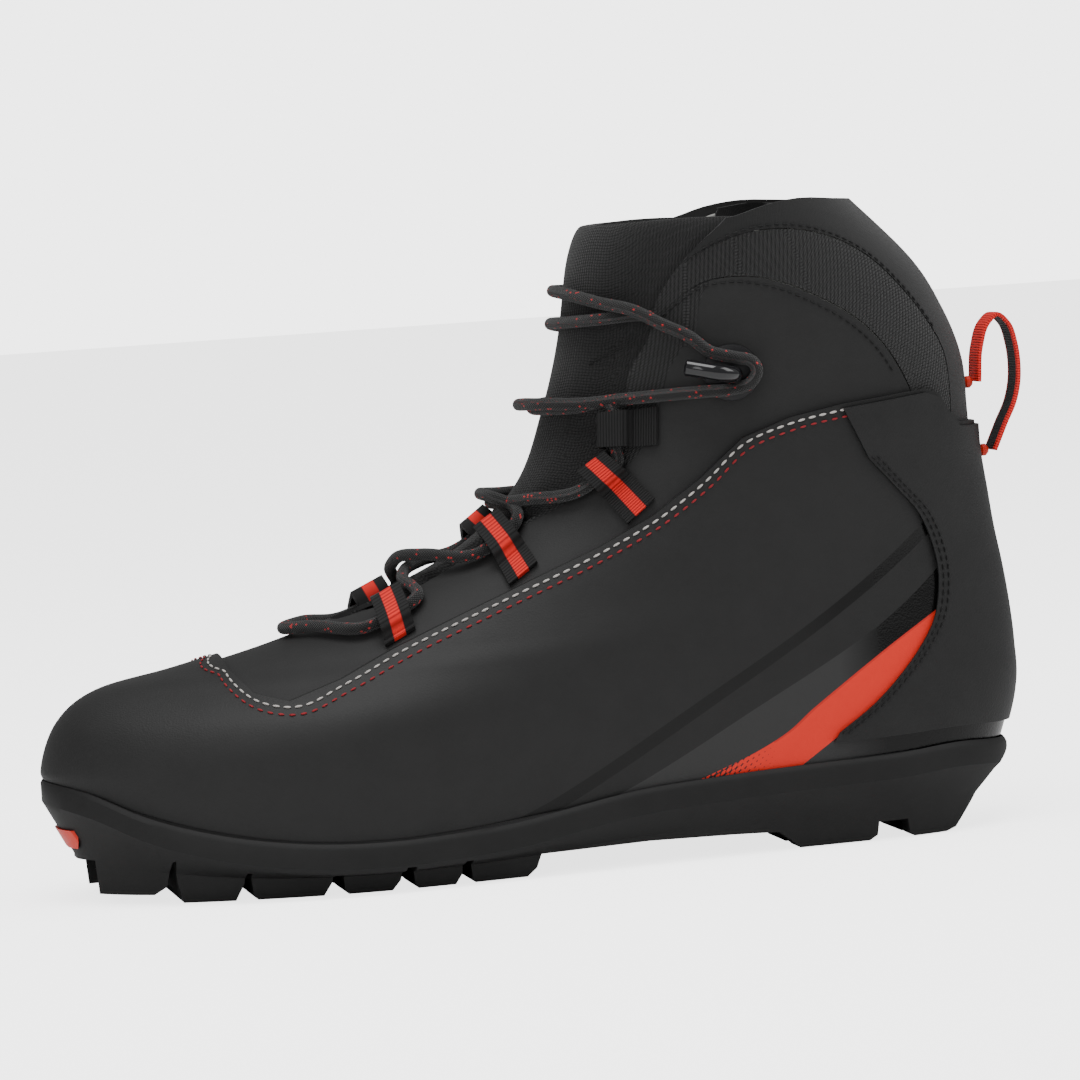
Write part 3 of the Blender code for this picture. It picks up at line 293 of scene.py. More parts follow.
def patternPoint(row, angle):
    # outer surface at a pattern row and an angle round it: 0 front, 90 outer side, 180 back
    row = np.asarray(row, float)
    angle = np.asarray(angle, float) % 360.0
    shape = np.broadcast(row, angle).shape
    row = np.broadcast_to(row, shape).ravel()
    angle = np.broadcast_to(angle, shape).ravel()
    outer = angle <= 180.0
    turn = np.where(outer, angle, 360.0 - angle)
    along = (1 - np.cos(np.radians(turn))) / 2
    rows = np.arange(len(frontLine))
    front = spline(rows, frontLine, row)
    back = spline(rows, backLine, row)
    x = front[:, 0] + (back[:, 0] - front[:, 0]) * along
    front = spline(rows, frontLine, np.maximum(row, 1))
    back = spline(rows, backLine, np.maximum(row, 1))
    z = front[:, 1] + (back[:, 1] - front[:, 1]) * along
    foot = feather(x) - lastingTuck * 1000
    low = np.clip(row, 0, 1)
    z = np.where(row < 1, foot * (1 - low) + z * low, z)
    byRow = spline(girthRows, girths, row)
    slopes = np.gradient(byRow, 30.0, axis=1)
    i = np.clip((turn // 30).astype(int), 0, 5)[:, None]
    u = turn / 30 - i[:, 0]

    def pick(table, at):
        return np.take_along_axis(table, at, axis=1)[:, 0]

    columns = (pick(byRow, i) * (1 + 2 * u) * (1 - u) ** 2 + pick(slopes, i) * 30 * u * (1 - u) ** 2
               + pick(byRow, i + 1) * u * u * (3 - 2 * u) + pick(slopes, i + 1) * 30 * u * u * (u - 1))
    half = columns * np.sin(np.radians(turn))
    fade = np.clip(1 - row / 6, 0, 1)
    hollow = waistHollow * np.exp(-((x - 18) / 42) ** 2) * fade
    half = np.where(outer, half, half - hollow * np.sin(np.radians(turn)))
    swing = np.clip((-40 - x) / 110, 0, 1)
    centre = toeSwing * swing * swing * (3 - 2 * swing)
    y = centre + np.where(outer, -half, half)
    return np.stack([x, y, z], axis=1).reshape(shape + (3,))


# making meshes
def gridFaces(rows, columns, start, closed, flip=False):
    faces = []
    for r in range(rows - 1):
        for c in range(columns if closed else columns - 1):
            d = (c + 1) % columns
            quad = [start + r * columns + c, start + r * columns + d,
                    start + (r + 1) * columns + d, start + (r + 1) * columns + c]
            faces.append(quad[::-1] if flip else quad)
    return faces


def meshFrom(name, points, faces, weld=0.00001):
    mesh = bpy.data.meshes.new(name)
    mesh.from_pydata([tuple(p) for p in points], [], faces)
    bm = bmesh.new()
    bm.from_mesh(mesh)
    bmesh.ops.remove_doubles(bm, verts=bm.verts, dist=weld)
    bmesh.ops.recalc_face_normals(bm, faces=bm.faces)
    if bm.calc_volume(signed=True) < 0:
        bmesh.ops.reverse_faces(bm, faces=bm.faces)
    bm.to_mesh(mesh)
    bm.free()
    obj = bpy.data.objects.new(name, mesh)
    bpy.context.scene.collection.objects.link(obj)
    return obj


def thickSheet(name, outer, inner, closed):
    # a closed solid between two matching sheets of points
    rows, columns = outer.shape[:2]
    count = rows * columns
    points = np.concatenate([outer.reshape(-1, 3), inner.reshape(-1, 3)])
    faces = gridFaces(rows, columns, 0, closed) + gridFaces(rows, columns, count, closed, True)
    for r, flip in ((0, True), (rows - 1, False)):
        for c in range(columns if closed else columns - 1):
            d = (c + 1) % columns
            quad = [r * columns + c, r * columns + d, count + r * columns + d, count + r * columns + c]
            faces.append(quad[::-1] if flip else quad)
    if not closed:
        for c, flip in ((0, False), (columns - 1, True)):
            for r in range(rows - 1):
                quad = [r * columns + c, (r + 1) * columns + c,
                        count + (r + 1) * columns + c, count + r * columns + c]
                faces.append(quad[::-1] if flip else quad)
    return meshFrom(name, points, faces)


grid = {"columns": 180, "rowStep": 0.1}


def ringLayer(name, outside, inside, lowRow, highRow, columns=None):
    # a closed sleeve round the boot between two insets, either numbers or functions of row and angle
    count = int(round((highRow - lowRow) / grid["rowStep"])) + 1
    rows = np.linspace(lowRow, highRow, count)
    angles = np.arange(columns or grid["columns"]) * 360.0 / (columns or grid["columns"])
    gridRow, gridAngle = np.meshgrid(rows, angles, indexing="ij")
    out = outside(gridRow, gridAngle) if callable(outside) else np.full(gridRow.shape, outside)
    inn = inside(gridRow, gridAngle) if callable(inside) else np.full(gridRow.shape, inside)
    return thickSheet(name, surface(gridRow, gridAngle, out), surface(gridRow, gridAngle, inn), True)


def rounded(points, count=6):
    # the same outline with its corners eased
    points = np.asarray(points, float)
    steps = np.r_[0, np.cumsum(np.linalg.norm(np.diff(points, axis=0), axis=1))]
    at = np.unique(np.concatenate([np.linspace(a, b, count) for a, b in zip(steps[:-1], steps[1:])]))
    return [tuple(p) for p in spline(steps, points, at)]


def sideCutter(name, outline, lowY=-0.12, highY=0.12):
    # a prism along Y from an outline in pattern x, z
    bm = bmesh.new()
    ring = [bm.verts.new((x * grade[0], lowY, z * grade[2])) for x, z in outline]
    face = bm.faces.new(ring)
    top = bmesh.ops.extrude_face_region(bm, geom=[face])
    moved = [v for v in top["geom"] if isinstance(v, bmesh.types.BMVert)]
    bmesh.ops.translate(bm, verts=moved, vec=(0, highY - lowY, 0))
    bmesh.ops.recalc_face_normals(bm, faces=bm.faces)
    if bm.calc_volume(signed=True) < 0:
        bmesh.ops.reverse_faces(bm, faces=bm.faces)
    mesh = bpy.data.meshes.new(name)
    bm.to_mesh(mesh)
    bm.free()
    obj = bpy.data.objects.new(name, mesh)
    bpy.context.scene.collection.objects.link(obj)
    return obj


def applied(obj):
    # bakes an object's modifiers into its mesh
    bpy.context.view_layer.update()
    mesh = bpy.data.meshes.new_from_object(obj.evaluated_get(bpy.context.evaluated_depsgraph_get()))
    obj.modifiers.clear()
    obj.data = mesh
    return obj


def cut(obj, cutter, operation="DIFFERENCE", keep=False):
    modifier = obj.modifiers.new("cut", "BOOLEAN")
    modifier.operation = operation
    modifier.object = cutter
    modifier.solver = "EXACT"
    applied(obj)
    if not keep:
        bpy.data.objects.remove(cutter, do_unlink=True)
    return obj


def copyOf(obj, name):
    new = bpy.data.objects.new(name, obj.data.copy())
    bpy.context.scene.collection.objects.link(new)
    return new


def drop(obj):
    bpy.data.objects.remove(obj, do_unlink=True)


def sweep(name, path, radius, sides=14, roundEnds=True):
    # a round cord along a path, with its run in mm and its turn kept as an attribute
    path = np.asarray(path, float)
    tangent = np.gradient(path, axis=0)
    tangent /= np.linalg.norm(tangent, axis=1, keepdims=True)
    side = np.cross(tangent[0], [0.0, 0.0, 1.0])
    frames = []
    for t in tangent:
        side = side - t * side.dot(t)
        side /= np.linalg.norm(side)
        frames.append((side, np.cross(t, side)))
    radii = np.full(len(path), radius)
    if roundEnds:
        radii[0] = radii[-1] = radius * 0.55
    turn = np.linspace(0, 2 * math.pi, sides, endpoint=False)
    points = []
    for p, (a, b), r in zip(path, frames, radii):
        points += [p + (a * math.cos(q) + b * math.sin(q)) * r for q in turn]
    faces = gridFaces(len(path), sides, 0, True)
    faces.append(list(range(sides))[::-1])
    faces.append([(len(path) - 1) * sides + i for i in range(sides)])
    run = np.r_[0, np.cumsum(np.linalg.norm(np.diff(path, axis=0), axis=1))] * 1000
    obj = meshFrom(name, points, faces, 1e-7)
    cloth = [(s, q * radius * 1000, 0) for s in run for q in turn]
    keepAttribute(obj, "cloth", cloth)
    return obj


def keepAttribute(obj, name, values):
    data = obj.data.attributes.get(name) or obj.data.attributes.new(name, "FLOAT_VECTOR", "POINT")
    data.data.foreach_set("vector", np.asarray(values, float).ravel())


# cloth coordinates: mm round the boot and mm up it, for weaves that follow the surface
def clothMap():
    rows = np.linspace(0, topRow, 121)
    angles = np.linspace(-180, 180, 181)
    gridRow, gridAngle = np.meshgrid(rows, angles, indexing="ij")
    place = surface(gridRow, gridAngle, 0.0) * 1000
    stepU = np.linalg.norm(np.diff(place, axis=1), axis=2)
    u = np.concatenate([np.zeros((len(rows), 1)), np.cumsum(stepU, axis=1)], axis=1)
    u -= u[:, 90:91]
    stepV = np.linalg.norm(np.diff(place, axis=0), axis=2)
    v = np.concatenate([np.zeros((1, len(angles))), np.cumsum(stepV, axis=0)], axis=0)
    across = np.gradient(place, axis=1)
    across /= np.linalg.norm(across, axis=2, keepdims=True) + 1e-9
    up = np.gradient(place, axis=0)
    up /= np.linalg.norm(up, axis=2, keepdims=True) + 1e-9
    tree = KDTree(place.size // 3)
    for k, p in enumerate(place.reshape(-1, 3)):
        tree.insert(p, k)
    tree.balance()
    return tree, place.reshape(-1, 3), u.ravel(), v.ravel(), across.reshape(-1, 3), up.reshape(-1, 3)


def clothCoordinates(obj, chart):
    tree, place, u, v, across, up = chart
    points = np.empty(len(obj.data.vertices) * 3)
    obj.data.vertices.foreach_get("co", points)
    points = points.reshape(-1, 3) * 1000
    near = np.array([tree.find(p)[1] for p in points])
    offset = points - place[near]
    values = np.stack([u[near] + (offset * across[near]).sum(axis=1),
                       v[near] + (offset * up[near]).sum(axis=1), np.zeros(len(near))], axis=1)
    keepAttribute(obj, "cloth", values)


chart = clothMap()
middleOffset = Vector((0.0007, 0.0001, 0.0))


def finishPiece(obj, material, body, nodes=(), smooth=35):
    # fixes a piece in the row frame: attributes, material, body and the CAD nodes it stands for
    points = np.empty(len(obj.data.vertices) * 3)
    obj.data.vertices.foreach_get("co", points)
    points = points.reshape(-1, 3)
    keepAttribute(obj, "rest", points / grade)
    if not obj.data.attributes.get("cloth"):
        clothCoordinates(obj, chart)
    obj.data.transform(Matrix.Translation(-middleOffset))
    obj.data.materials.clear()
    obj.data.materials.append(material)
    obj.data.shade_smooth()
    if smooth:
        obj.data.set_sharp_from_angle(angle=math.radians(smooth))
    if body == "bend":
        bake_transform(obj)
    else:
        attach(obj, body)
    if nodes:
        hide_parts(*nodes)
    return obj


# shader helpers
def node(tree, kind, inputs=None, **settings):
    new = tree.nodes.new(kind)
    for key, value in settings.items():
        setattr(new, key, value)
    for key, value in (inputs or {}).items():
        if isinstance(value, bpy.types.NodeSocket):
            tree.links.new(value, new.inputs[key])
        else:
            new.inputs[key].default_value = value
    return new


def calc(tree, operation, a, b=0.0, c=0.0):
    return node(tree, "ShaderNodeMath", {0: a, 1: b, 2: c}, operation=operation).outputs[0]


def mixColour(tree, factor, a, b):
    new = node(tree, "ShaderNodeMix", data_type="RGBA")
    for key, value in ((0, factor), (6, a), (7, b)):
        if isinstance(value, bpy.types.NodeSocket):
            tree.links.new(value, new.inputs[key])
        else:
            new.inputs[key].default_value = value
    return new.outputs[2]


def newGroup(name, inputs, outputs):
    tree = bpy.data.node_groups.new(name, "ShaderNodeTree")
    for label, kind, value in inputs:
        socket = tree.interface.new_socket(name=label, in_out="INPUT", socket_type=kind)
        if value is not None:
            socket.default_value = value
    for label in outputs:
        tree.interface.new_socket(name=label, in_out="OUTPUT", socket_type="NodeSocketFloat")
    return tree, tree.nodes.new("NodeGroupInput"), tree.nodes.new("NodeGroupOutput")


def weaveGroup():
    # plain weave of round threads, from cloth coordinates in mm
    tree, source, sink = newGroup("plainWeave", [("Cloth", "NodeSocketVector", None),
                                                 ("Across", "NodeSocketFloat", 1.0),
                                                 ("Along", "NodeSocketFloat", 1.0)],
                                  ["Height", "Warp"])
    parts = node(tree, "ShaderNodeSeparateXYZ", {0: source.outputs["Cloth"]})
    u = calc(tree, "DIVIDE", parts.outputs[0], source.outputs["Across"])
    v = calc(tree, "DIVIDE", parts.outputs[1], source.outputs["Along"])
    cell = calc(tree, "ADD", calc(tree, "FLOOR", u), calc(tree, "FLOOR", v))
    over = calc(tree, "MODULO", calc(tree, "ABSOLUTE", cell), 2.0)
    over = calc(tree, "GREATER_THAN", over, 0.5)
    humpU = calc(tree, "ABSOLUTE", calc(tree, "SINE", calc(tree, "MULTIPLY", u, math.pi)))
    humpV = calc(tree, "ABSOLUTE", calc(tree, "SINE", calc(tree, "MULTIPLY", v, math.pi)))
    warp = calc(tree, "MULTIPLY", humpU, calc(tree, "POWER", humpV, 0.4))
    weft = calc(tree, "MULTIPLY", humpV, calc(tree, "POWER", humpU, 0.4))
    flip = calc(tree, "SUBTRACT", 1.0, over)
    height = calc(tree, "ADD", calc(tree, "MULTIPLY", warp, over), calc(tree, "MULTIPLY", weft, flip))
    tree.links.new(height, sink.inputs["Height"])
    tree.links.new(over, sink.inputs["Warp"])
    return tree


def braidGroup():
    # slanted braid: the same threads seen at forty-five degrees
    tree, source, sink = newGroup("slantBraid", [("Cloth", "NodeSocketVector", None),
                                                 ("Pitch", "NodeSocketFloat", 1.0)], ["Height", "Cell"])
    parts = node(tree, "ShaderNodeSeparateXYZ", {0: source.outputs["Cloth"]})
    u = calc(tree, "DIVIDE", calc(tree, "ADD", parts.outputs[0], parts.outputs[1]), source.outputs["Pitch"])
    v = calc(tree, "DIVIDE", calc(tree, "SUBTRACT", parts.outputs[0], parts.outputs[1]),
             source.outputs["Pitch"])
    humpU = calc(tree, "ABSOLUTE", calc(tree, "SINE", calc(tree, "MULTIPLY", u, math.pi)))
    humpV = calc(tree, "ABSOLUTE", calc(tree, "SINE", calc(tree, "MULTIPLY", v, math.pi)))
    height = calc(tree, "MULTIPLY", humpU, humpV)
    cell = calc(tree, "ADD", calc(tree, "MULTIPLY", calc(tree, "FLOOR", u), 7.0), calc(tree, "FLOOR", v))
    tree.links.new(height, sink.inputs["Height"])
    tree.links.new(cell, sink.inputs["Cell"])
    return tree


def grainGroup():
    # coated leather: fine pebble grain with a slow mottle
    tree, source, sink = newGroup("leatherGrain", [("Place", "NodeSocketVector", None),
                                                   ("Scale", "NodeSocketFloat", 1.0)],
                                  ["Height", "Mottle"])
    cells = node(tree, "ShaderNodeTexVoronoi", {"Vector": source.outputs["Place"],
                                                "Scale": source.outputs["Scale"]},
                 feature="SMOOTH_F1")
    cloud = node(tree, "ShaderNodeTexNoise", {"Vector": source.outputs["Place"], "Scale": 0.09,
                                              "Detail": 5.0, "Roughness": 0.6})
    tree.links.new(cells.outputs["Distance"], sink.inputs["Height"])
    tree.links.new(cloud.outputs[0], sink.inputs["Mottle"])
    return tree


weave = weaveGroup()
braid = braidGroup()
grain = grainGroup()


def useGroup(tree, group, inputs):
    new = tree.nodes.new("ShaderNodeGroup")
    new.node_tree = group
    for key, value in inputs.items():
        if isinstance(value, bpy.types.NodeSocket):
            tree.links.new(value, new.inputs[key])
        else:
            new.inputs[key].default_value = value
    return new


def startMaterial(name, colour, roughness, metallic=0.0, coat=0.0, specular=0.22):
    material = bpy.data.materials.new(name)
    material.use_nodes = True
    tree = material.node_tree
    shader = tree.nodes["Principled BSDF"]
    shader.inputs["Base Color"].default_value = (*colour, 1)
    shader.inputs["Roughness"].default_value = roughness
    shader.inputs["Metallic"].default_value = metallic
    shader.inputs["Coat Weight"].default_value = coat
    shader.inputs["Specular IOR Level"].default_value = specular
    return material, tree, shader


def attributeOf(tree, name):
    return node(tree, "ShaderNodeAttribute", attribute_name=name).outputs["Vector"]


def setBump(tree, shader, height, distance, strength=1.0):
    bump = node(tree, "ShaderNodeBump", {"Height": height, "Distance": distance, "Strength": strength})
    tree.links.new(bump.outputs[0], shader.inputs["Normal"])
    return bump


def grey(value, red=1.0, blue=1.0):
    return (value * red, value, value * blue, 1)


def shaded(tree, shader, factor, low, high):
    # base colour between two colours by a factor
    tree.links.new(mixColour(tree, factor, low, high), shader.inputs["Base Color"])


def fabricMaterial(name, dark, light, across, along, depth, roughness=0.85, sheen=0.1):
    material, tree, shader = startMaterial(name, dark[:3], roughness)
    threads = useGroup(tree, weave, {"Cloth": attributeOf(tree, "cloth"), "Across": across, "Along": along})
    # painted shade: colour runs from the dark value in the hollows between threads to the light value on
    # their crowns
    shaded(tree, shader, threads.outputs["Height"], dark, light)
    shader.inputs["Sheen Weight"].default_value = sheen
    setBump(tree, shader, threads.outputs["Height"], depth)
    return material


def leatherMaterial(name, base, roughness, scale, depth):
    material, tree, shader = startMaterial(name, base[:3], roughness)
    pebble = useGroup(tree, grain, {"Place": attributeOf(tree, "rest"), "Scale": scale})
    high = tuple(v * 1.3 for v in base[:3]) + (1,)
    low = tuple(v * 0.8 for v in base[:3]) + (1,)
    shaded(tree, shader, pebble.outputs["Mottle"], low, high)
    setBump(tree, shader, pebble.outputs["Height"], depth)
    return material


# shell: one coated upper with printed graphics, cut along the throat
shellLook = {"base": 0.0135, "roughness": 0.55, "grain": 1.9, "depth": 0.00008,
             "red": (0.66, 0.026, 0.014, 1),
             "blackFrom": 84.0, "blackTo": 98.0, "dotPitch": 1.5}


def edgeCurve(tree, height, points):
    # x of a printed edge as a smooth function of height, both in pattern mm
    low, high = points[0][0], points[-1][0]
    share = calc(tree, "DIVIDE", calc(tree, "SUBTRACT", height, low), high - low)
    new = tree.nodes.new("ShaderNodeFloatCurve")
    line = new.mapping.curves[0]
    for k, (z, x) in enumerate(points):
        place = ((z - low) / (high - low), (x + 20) / 160)
        if k < 2:
            line.points[k].location = place
        else:
            line.points.new(*place)
    new.mapping.update()
    tree.links.new(share, new.inputs["Value"])
    return calc(tree, "SUBTRACT", calc(tree, "MULTIPLY", new.outputs[0], 160.0), 20.0)


def stepUp(tree, value, edge, width=0.25):
    # 0 below an edge, 1 above it, with a narrow soft border
    moved = calc(tree, "DIVIDE", calc(tree, "SUBTRACT", value, edge), width)
    ramp = node(tree, "ShaderNodeClamp", {0: calc(tree, "ADD", moved, 0.5)})
    return ramp.outputs[0]


def between(tree, *factors):
    total = factors[0]
    for factor in factors[1:]:
        total = calc(tree, "MULTIPLY", total, factor)
    return total


def makeShellMaterial():
    base = shellLook["base"]
    material, tree, shader = startMaterial("shellCoat", (base, base, base), shellLook["roughness"])
    place = attributeOf(tree, "rest")
    parts = node(tree, "ShaderNodeSeparateXYZ", {0: place})
    x, z = parts.outputs[0], parts.outputs[2]
    pebble = useGroup(tree, grain, {"Place": place, "Scale": shellLook["grain"]})
    plain = mixColour(tree, pebble.outputs["Mottle"], grey(base * 0.85), grey(base * 1.2))
    redInner = edgeCurve(tree, z, [(23.6, 35), (25.4, 41), (34.8, 63.8), (43.2, 75.4), (49.1, 84),
                                   (55.4, 93.5), (61.4, 103.1), (70.8, 119.6)])
    bandInner = edgeCurve(tree, z, [(22.0, 12), (27.3, 23.6), (45, 57.5), (62.1, 90.2), (68.4, 100.5),
                                    (83.7, 120)])
    streakHigh = edgeCurve(tree, z, [(21.0, -12), (23.2, -7), (48, 38), (75.6, 85.6), (97.2, 114.9)])
    streakLow = edgeCurve(tree, z, [(21.0, -3), (25, 5), (46, 42.2), (73.3, 88.4), (94, 117.3)])
    red = between(tree, stepUp(tree, x, redInner), calc(tree, "LESS_THAN", z, 70.8),
                  calc(tree, "LESS_THAN", x, calc(tree, "ADD", calc(tree, "MULTIPLY", z, 1.5), 32.1)))
    band = between(tree, stepUp(tree, x, bandInner), calc(tree, "SUBTRACT", 1.0, red),
                   calc(tree, "LESS_THAN", z, 83.6), calc(tree, "GREATER_THAN", z, 22.4))
    pastLow = calc(tree, "SUBTRACT", 1.0, stepUp(tree, x, streakLow))
    streak = between(tree, stepUp(tree, x, streakHigh), pastLow,
                     calc(tree, "LESS_THAN", z, 97.0))
    dark = node(tree, "ShaderNodeMapRange", {0: x, 1: shellLook["blackFrom"], 2: shellLook["blackTo"]})
    print1 = mixColour(tree, dark.outputs[0], grey(base * 2.1), grey(0.002))
    faint = node(tree, "ShaderNodeMapRange", {0: x, 1: 70.0, 2: 86.0, 3: 1.0, 4: 0.0}).outputs[0]
    print2 = mixColour(tree, faint, grey(0.002), grey(base * 0.5))
    colour = mixColour(tree, band, plain, print1)
    colour = mixColour(tree, streak, colour, print2)
    # the stripe breaks into dots towards its lower tip
    pitch = shellLook["dotPitch"]
    across = calc(tree, "FRACT", calc(tree, "DIVIDE", calc(tree, "ADD", x, calc(tree, "MULTIPLY", z, -0.4)),
                                      pitch))
    down = calc(tree, "FRACT", calc(tree, "DIVIDE", calc(tree, "ADD", z, calc(tree, "MULTIPLY", x, -0.45)),
                                    pitch))
    acrossSquare = calc(tree, "POWER", calc(tree, "SUBTRACT", across, 0.5), 2.0)
    downSquare = calc(tree, "POWER", calc(tree, "SUBTRACT", down, 0.5), 2.0)
    away = calc(tree, "SQRT", calc(tree, "ADD", acrossSquare, downSquare))
    reach = node(tree, "ShaderNodeMapRange", {0: x, 1: 40.0, 2: 70.0, 3: 0.33, 4: 0.80}).outputs[0]
    dots = calc(tree, "LESS_THAN", away, reach)
    dotted = mixColour(tree, dots, grey(0.02), shellLook["red"])
    border = calc(tree, "LESS_THAN", x, calc(tree, "ADD", redInner, 1.1))
    dotted = mixColour(tree, between(tree, border, calc(tree, "GREATER_THAN", x, 62.0)), dotted,
                       (0.5, 0.02, 0.012, 1))
    colour = mixColour(tree, red, colour, dotted)
    tree.links.new(colour, shader.inputs["Base Color"])
    gloss = between(tree, calc(tree, "MAXIMUM", band, streak), dark.outputs[0])
    rough = node(tree, "ShaderNodeMapRange", {0: gloss, 3: shellLook["roughness"], 4: 0.24}).outputs[0]
    tree.links.new(rough, shader.inputs["Roughness"])
    setBump(tree, shader, pebble.outputs["Height"], shellLook["depth"], 0.7)
    return material


shellMaterial = makeShellMaterial()
shell = ringLayer("shell", 0.0, shellWall, 0, 9.6)
shellOutline = [(-175, -15), (-175, 95), (-99.5, 95)] + list(throatEdge) + [(175, 124), (175, -15)]
cut(shell, sideCutter("shellRegion", shellOutline), "INTERSECT")
finishPiece(shell, shellMaterial, "bend", ("vamp_shell", "vamp_flex", "quarter_shell"))
print("shell done")

# heel overlay over the back of the shell
overlay = {"thick": overlayWall}
overlayMaterial = leatherMaterial("overlayCoat", grey(0.0125), 0.56, 1.9, 0.00008)
heel = ringLayer("heelOverlay", -(gap + overlay["thick"]), -gap, 0.5, 9.6)
overlayTop = [(x, z - 1.2) for x, z in throatEdge[12:]]
overlayFloor = [(150, 24.8), (137, 25.4), (124, 26.6), (99, 25.6), (77, 26.2)]
overlayOutline = (rounded(overlayFront[1:-1], 5) + overlayFloor[::-1] + [(175, 26), (175, 122.5)]
                  + overlayTop[::-1])
cut(heel, sideCutter("overlayRegion", overlayOutline), "INTERSECT")
finishPiece(heel, overlayMaterial, "boot", ("heel_overlay",))
print("heel overlay done")

# lace slot, ankle panel, collar mesh and rim share one layer
slotRowsDense = np.linspace(5.55, 12, 70)
slotShares = np.linspace(-1, 1, 25)
slotRow, slotShare = np.meshgrid(slotRowsDense, slotShares, indexing="ij")
slotTurn = slotAngle(slotRowsDense)[:, None] * slotShare
slotCutter = thickSheet("laceSlot", surface(slotRow, slotTurn, np.full(slotRow.shape, -0.008)),
                        surface(slotRow, slotTurn, np.full(slotRow.shape, panelInset + panelWall + 0.003)),
                        False)


panelLook = {"base": 0.0145, "roughness": 0.62, "scale": 2.2, "depth": 0.00007, "weaveDepth": 0.0003}


def makePanelMaterial():
    # coated panel whose border along the lace slot is coarse weave
    base = panelLook["base"]
    material, tree, shader = startMaterial("panelCoat", (base, base, base), panelLook["roughness"])
    pebble = useGroup(tree, grain, {"Place": attributeOf(tree, "rest"), "Scale": panelLook["scale"]})
    threads = useGroup(tree, weave, {"Cloth": attributeOf(tree, "cloth"), "Across": 1.3, "Along": 0.95})
    away = node(tree, "ShaderNodeSeparateXYZ", {0: attributeOf(tree, "slotAway")})
    # the woven border grows from nothing at row 6.6 to 10.5 mm at row 9.6
    width = node(tree, "ShaderNodeMapRange",
                 {0: away.outputs[1], 1: 6.6, 2: 9.6, 3: 0.0, 4: 10.5}).outputs[0]
    woven = calc(tree, "LESS_THAN", away.outputs[0], width)
    plain = mixColour(tree, pebble.outputs["Mottle"], grey(base * 0.85), grey(base * 1.2))
    # the woven border's colour is painted shade, dark in the hollows between threads and lighter on their
    # crowns
    cloth = mixColour(tree, threads.outputs["Height"], grey(0.003), grey(0.03))
    tree.links.new(mixColour(tree, woven, plain, cloth), shader.inputs["Base Color"])
    height = calc(tree, "ADD", calc(tree, "MULTIPLY", calc(tree, "SUBTRACT", 1.0, woven), 0.7),
                  calc(tree, "MULTIPLY", woven, calc(tree, "MULTIPLY", threads.outputs["Height"], 0.6)))
    fine = calc(tree, "MULTIPLY", pebble.outputs["Height"], 0.12)
    setBump(tree, shader, calc(tree, "ADD", height, fine), panelLook["weaveDepth"])
    return material


panelMaterial = makePanelMaterial()
layer = ringLayer("panelLayer", panelInset, panelInset + panelWall, 1, 12, 200)
lowEdge = [(-106, 95), (-106, 64), (-98, 55), (-85, 47.5), (-67, 52), (-50, 59.5), (-18, 72),
           (12.8, 84.8), (44, 103), (58, 115), (88, 123), (104, 125), (111.2, 126)]
ankle = copyOf(layer, "anklePanel")
ankleOutline = lowEdge + rounded(panelTop, 4) + [(-20, 152), (-60, 110)]
cut(ankle, sideCutter("ankleRegion", ankleOutline), "INTERSECT")
cut(ankle, slotCutter, keep=True)
chartRows, chartAngles = np.meshgrid(np.linspace(0, topRow, 121), np.linspace(-180, 180, 181),
                                     indexing="ij")
near = [chart[0].find(v.co * 1000)[1] for v in ankle.data.vertices]
nearRow, nearAngle = chartRows.ravel()[near], chartAngles.ravel()[near]
fromSlot = (np.abs(nearAngle) - slotAngle(nearRow)) * 0.75  # about 0.75 mm to a degree here
keepAttribute(ankle, "slotAway", np.stack([fromSlot, nearRow, nearRow * 0], axis=1))
finishPiece(ankle, panelMaterial, "bend", ("throat_gusset", "ankle_panel"))

# dark and light are the collar mesh's painted shade in the weave hollows and its colour on the thread
# crowns
collarLook = {"dark": 0.003, "light": 0.03, "across": 1.3, "along": 0.95, "depth": 0.00035}
meshMaterial = fabricMaterial("collarMesh", grey(collarLook["dark"]), grey(collarLook["light"]),
                              collarLook["across"], collarLook["along"], collarLook["depth"])
shift = 1000 * gap
abovePanel = [(x + shift, z + 1.3 * shift) for x, z in rounded(panelTop, 4)]
for side, lowY, highY in (("outer", -0.12, -0.002), ("inner", 0.002, 0.12)):
    piece = copyOf(layer, "collarMesh" + side.title())
    outline = [(111.6, 123)] + abovePanel + rounded(meshTop, 4)[::-1]
    cut(piece, sideCutter("meshRegion", outline, lowY, highY), "INTERSECT")
    cut(piece, slotCutter, keep=True)
    finishPiece(piece, meshMaterial, "boot", ("collar_mesh_" + side,))

# rim cloth colour carries painted shade, darker in the hollows between its threads
rimMaterial = fabricMaterial("rimCloth", grey(0.009), grey(0.015), 0.5, 0.5, 0.00006, 0.75)
rim = copyOf(layer, "collarRim")
rimOutline = [(x + shift, z + shift) for x, z in rounded(meshTop, 4)]
rimOutline += rounded(collarTop, 4) + [(150, 196), (150, 123)]
cut(rim, sideCutter("rimRegion", rimOutline), "INTERSECT")
cut(rim, slotCutter)
finishPiece(rim, rimMaterial, "boot", ("collar_rim",))
drop(layer)
print("ankle panel, collar mesh and rim done")

# tongue: brushed face, proud in the slot, rolled at its top
tongueLook = {"proud": 0.0028, "overlap": 12.0}
tongueMaterial, tongueTree, tongueShader = startMaterial("tongueBrushed", (0.03, 0.03, 0.031), 0.9)
tongueCloth = attributeOf(tongueTree, "cloth")
tongueWeave = useGroup(tongueTree, weave, {"Cloth": tongueCloth, "Across": 1.1, "Along": 0.9})
# painted shade: the tongue's colour is darker in the hollows between its threads
shaded(tongueTree, tongueShader, tongueWeave.outputs["Height"], grey(0.005), grey(0.02))
tongueShader.inputs["Sheen Weight"].default_value = 0.1
setBump(tongueTree, tongueShader, tongueWeave.outputs["Height"], 0.0002)


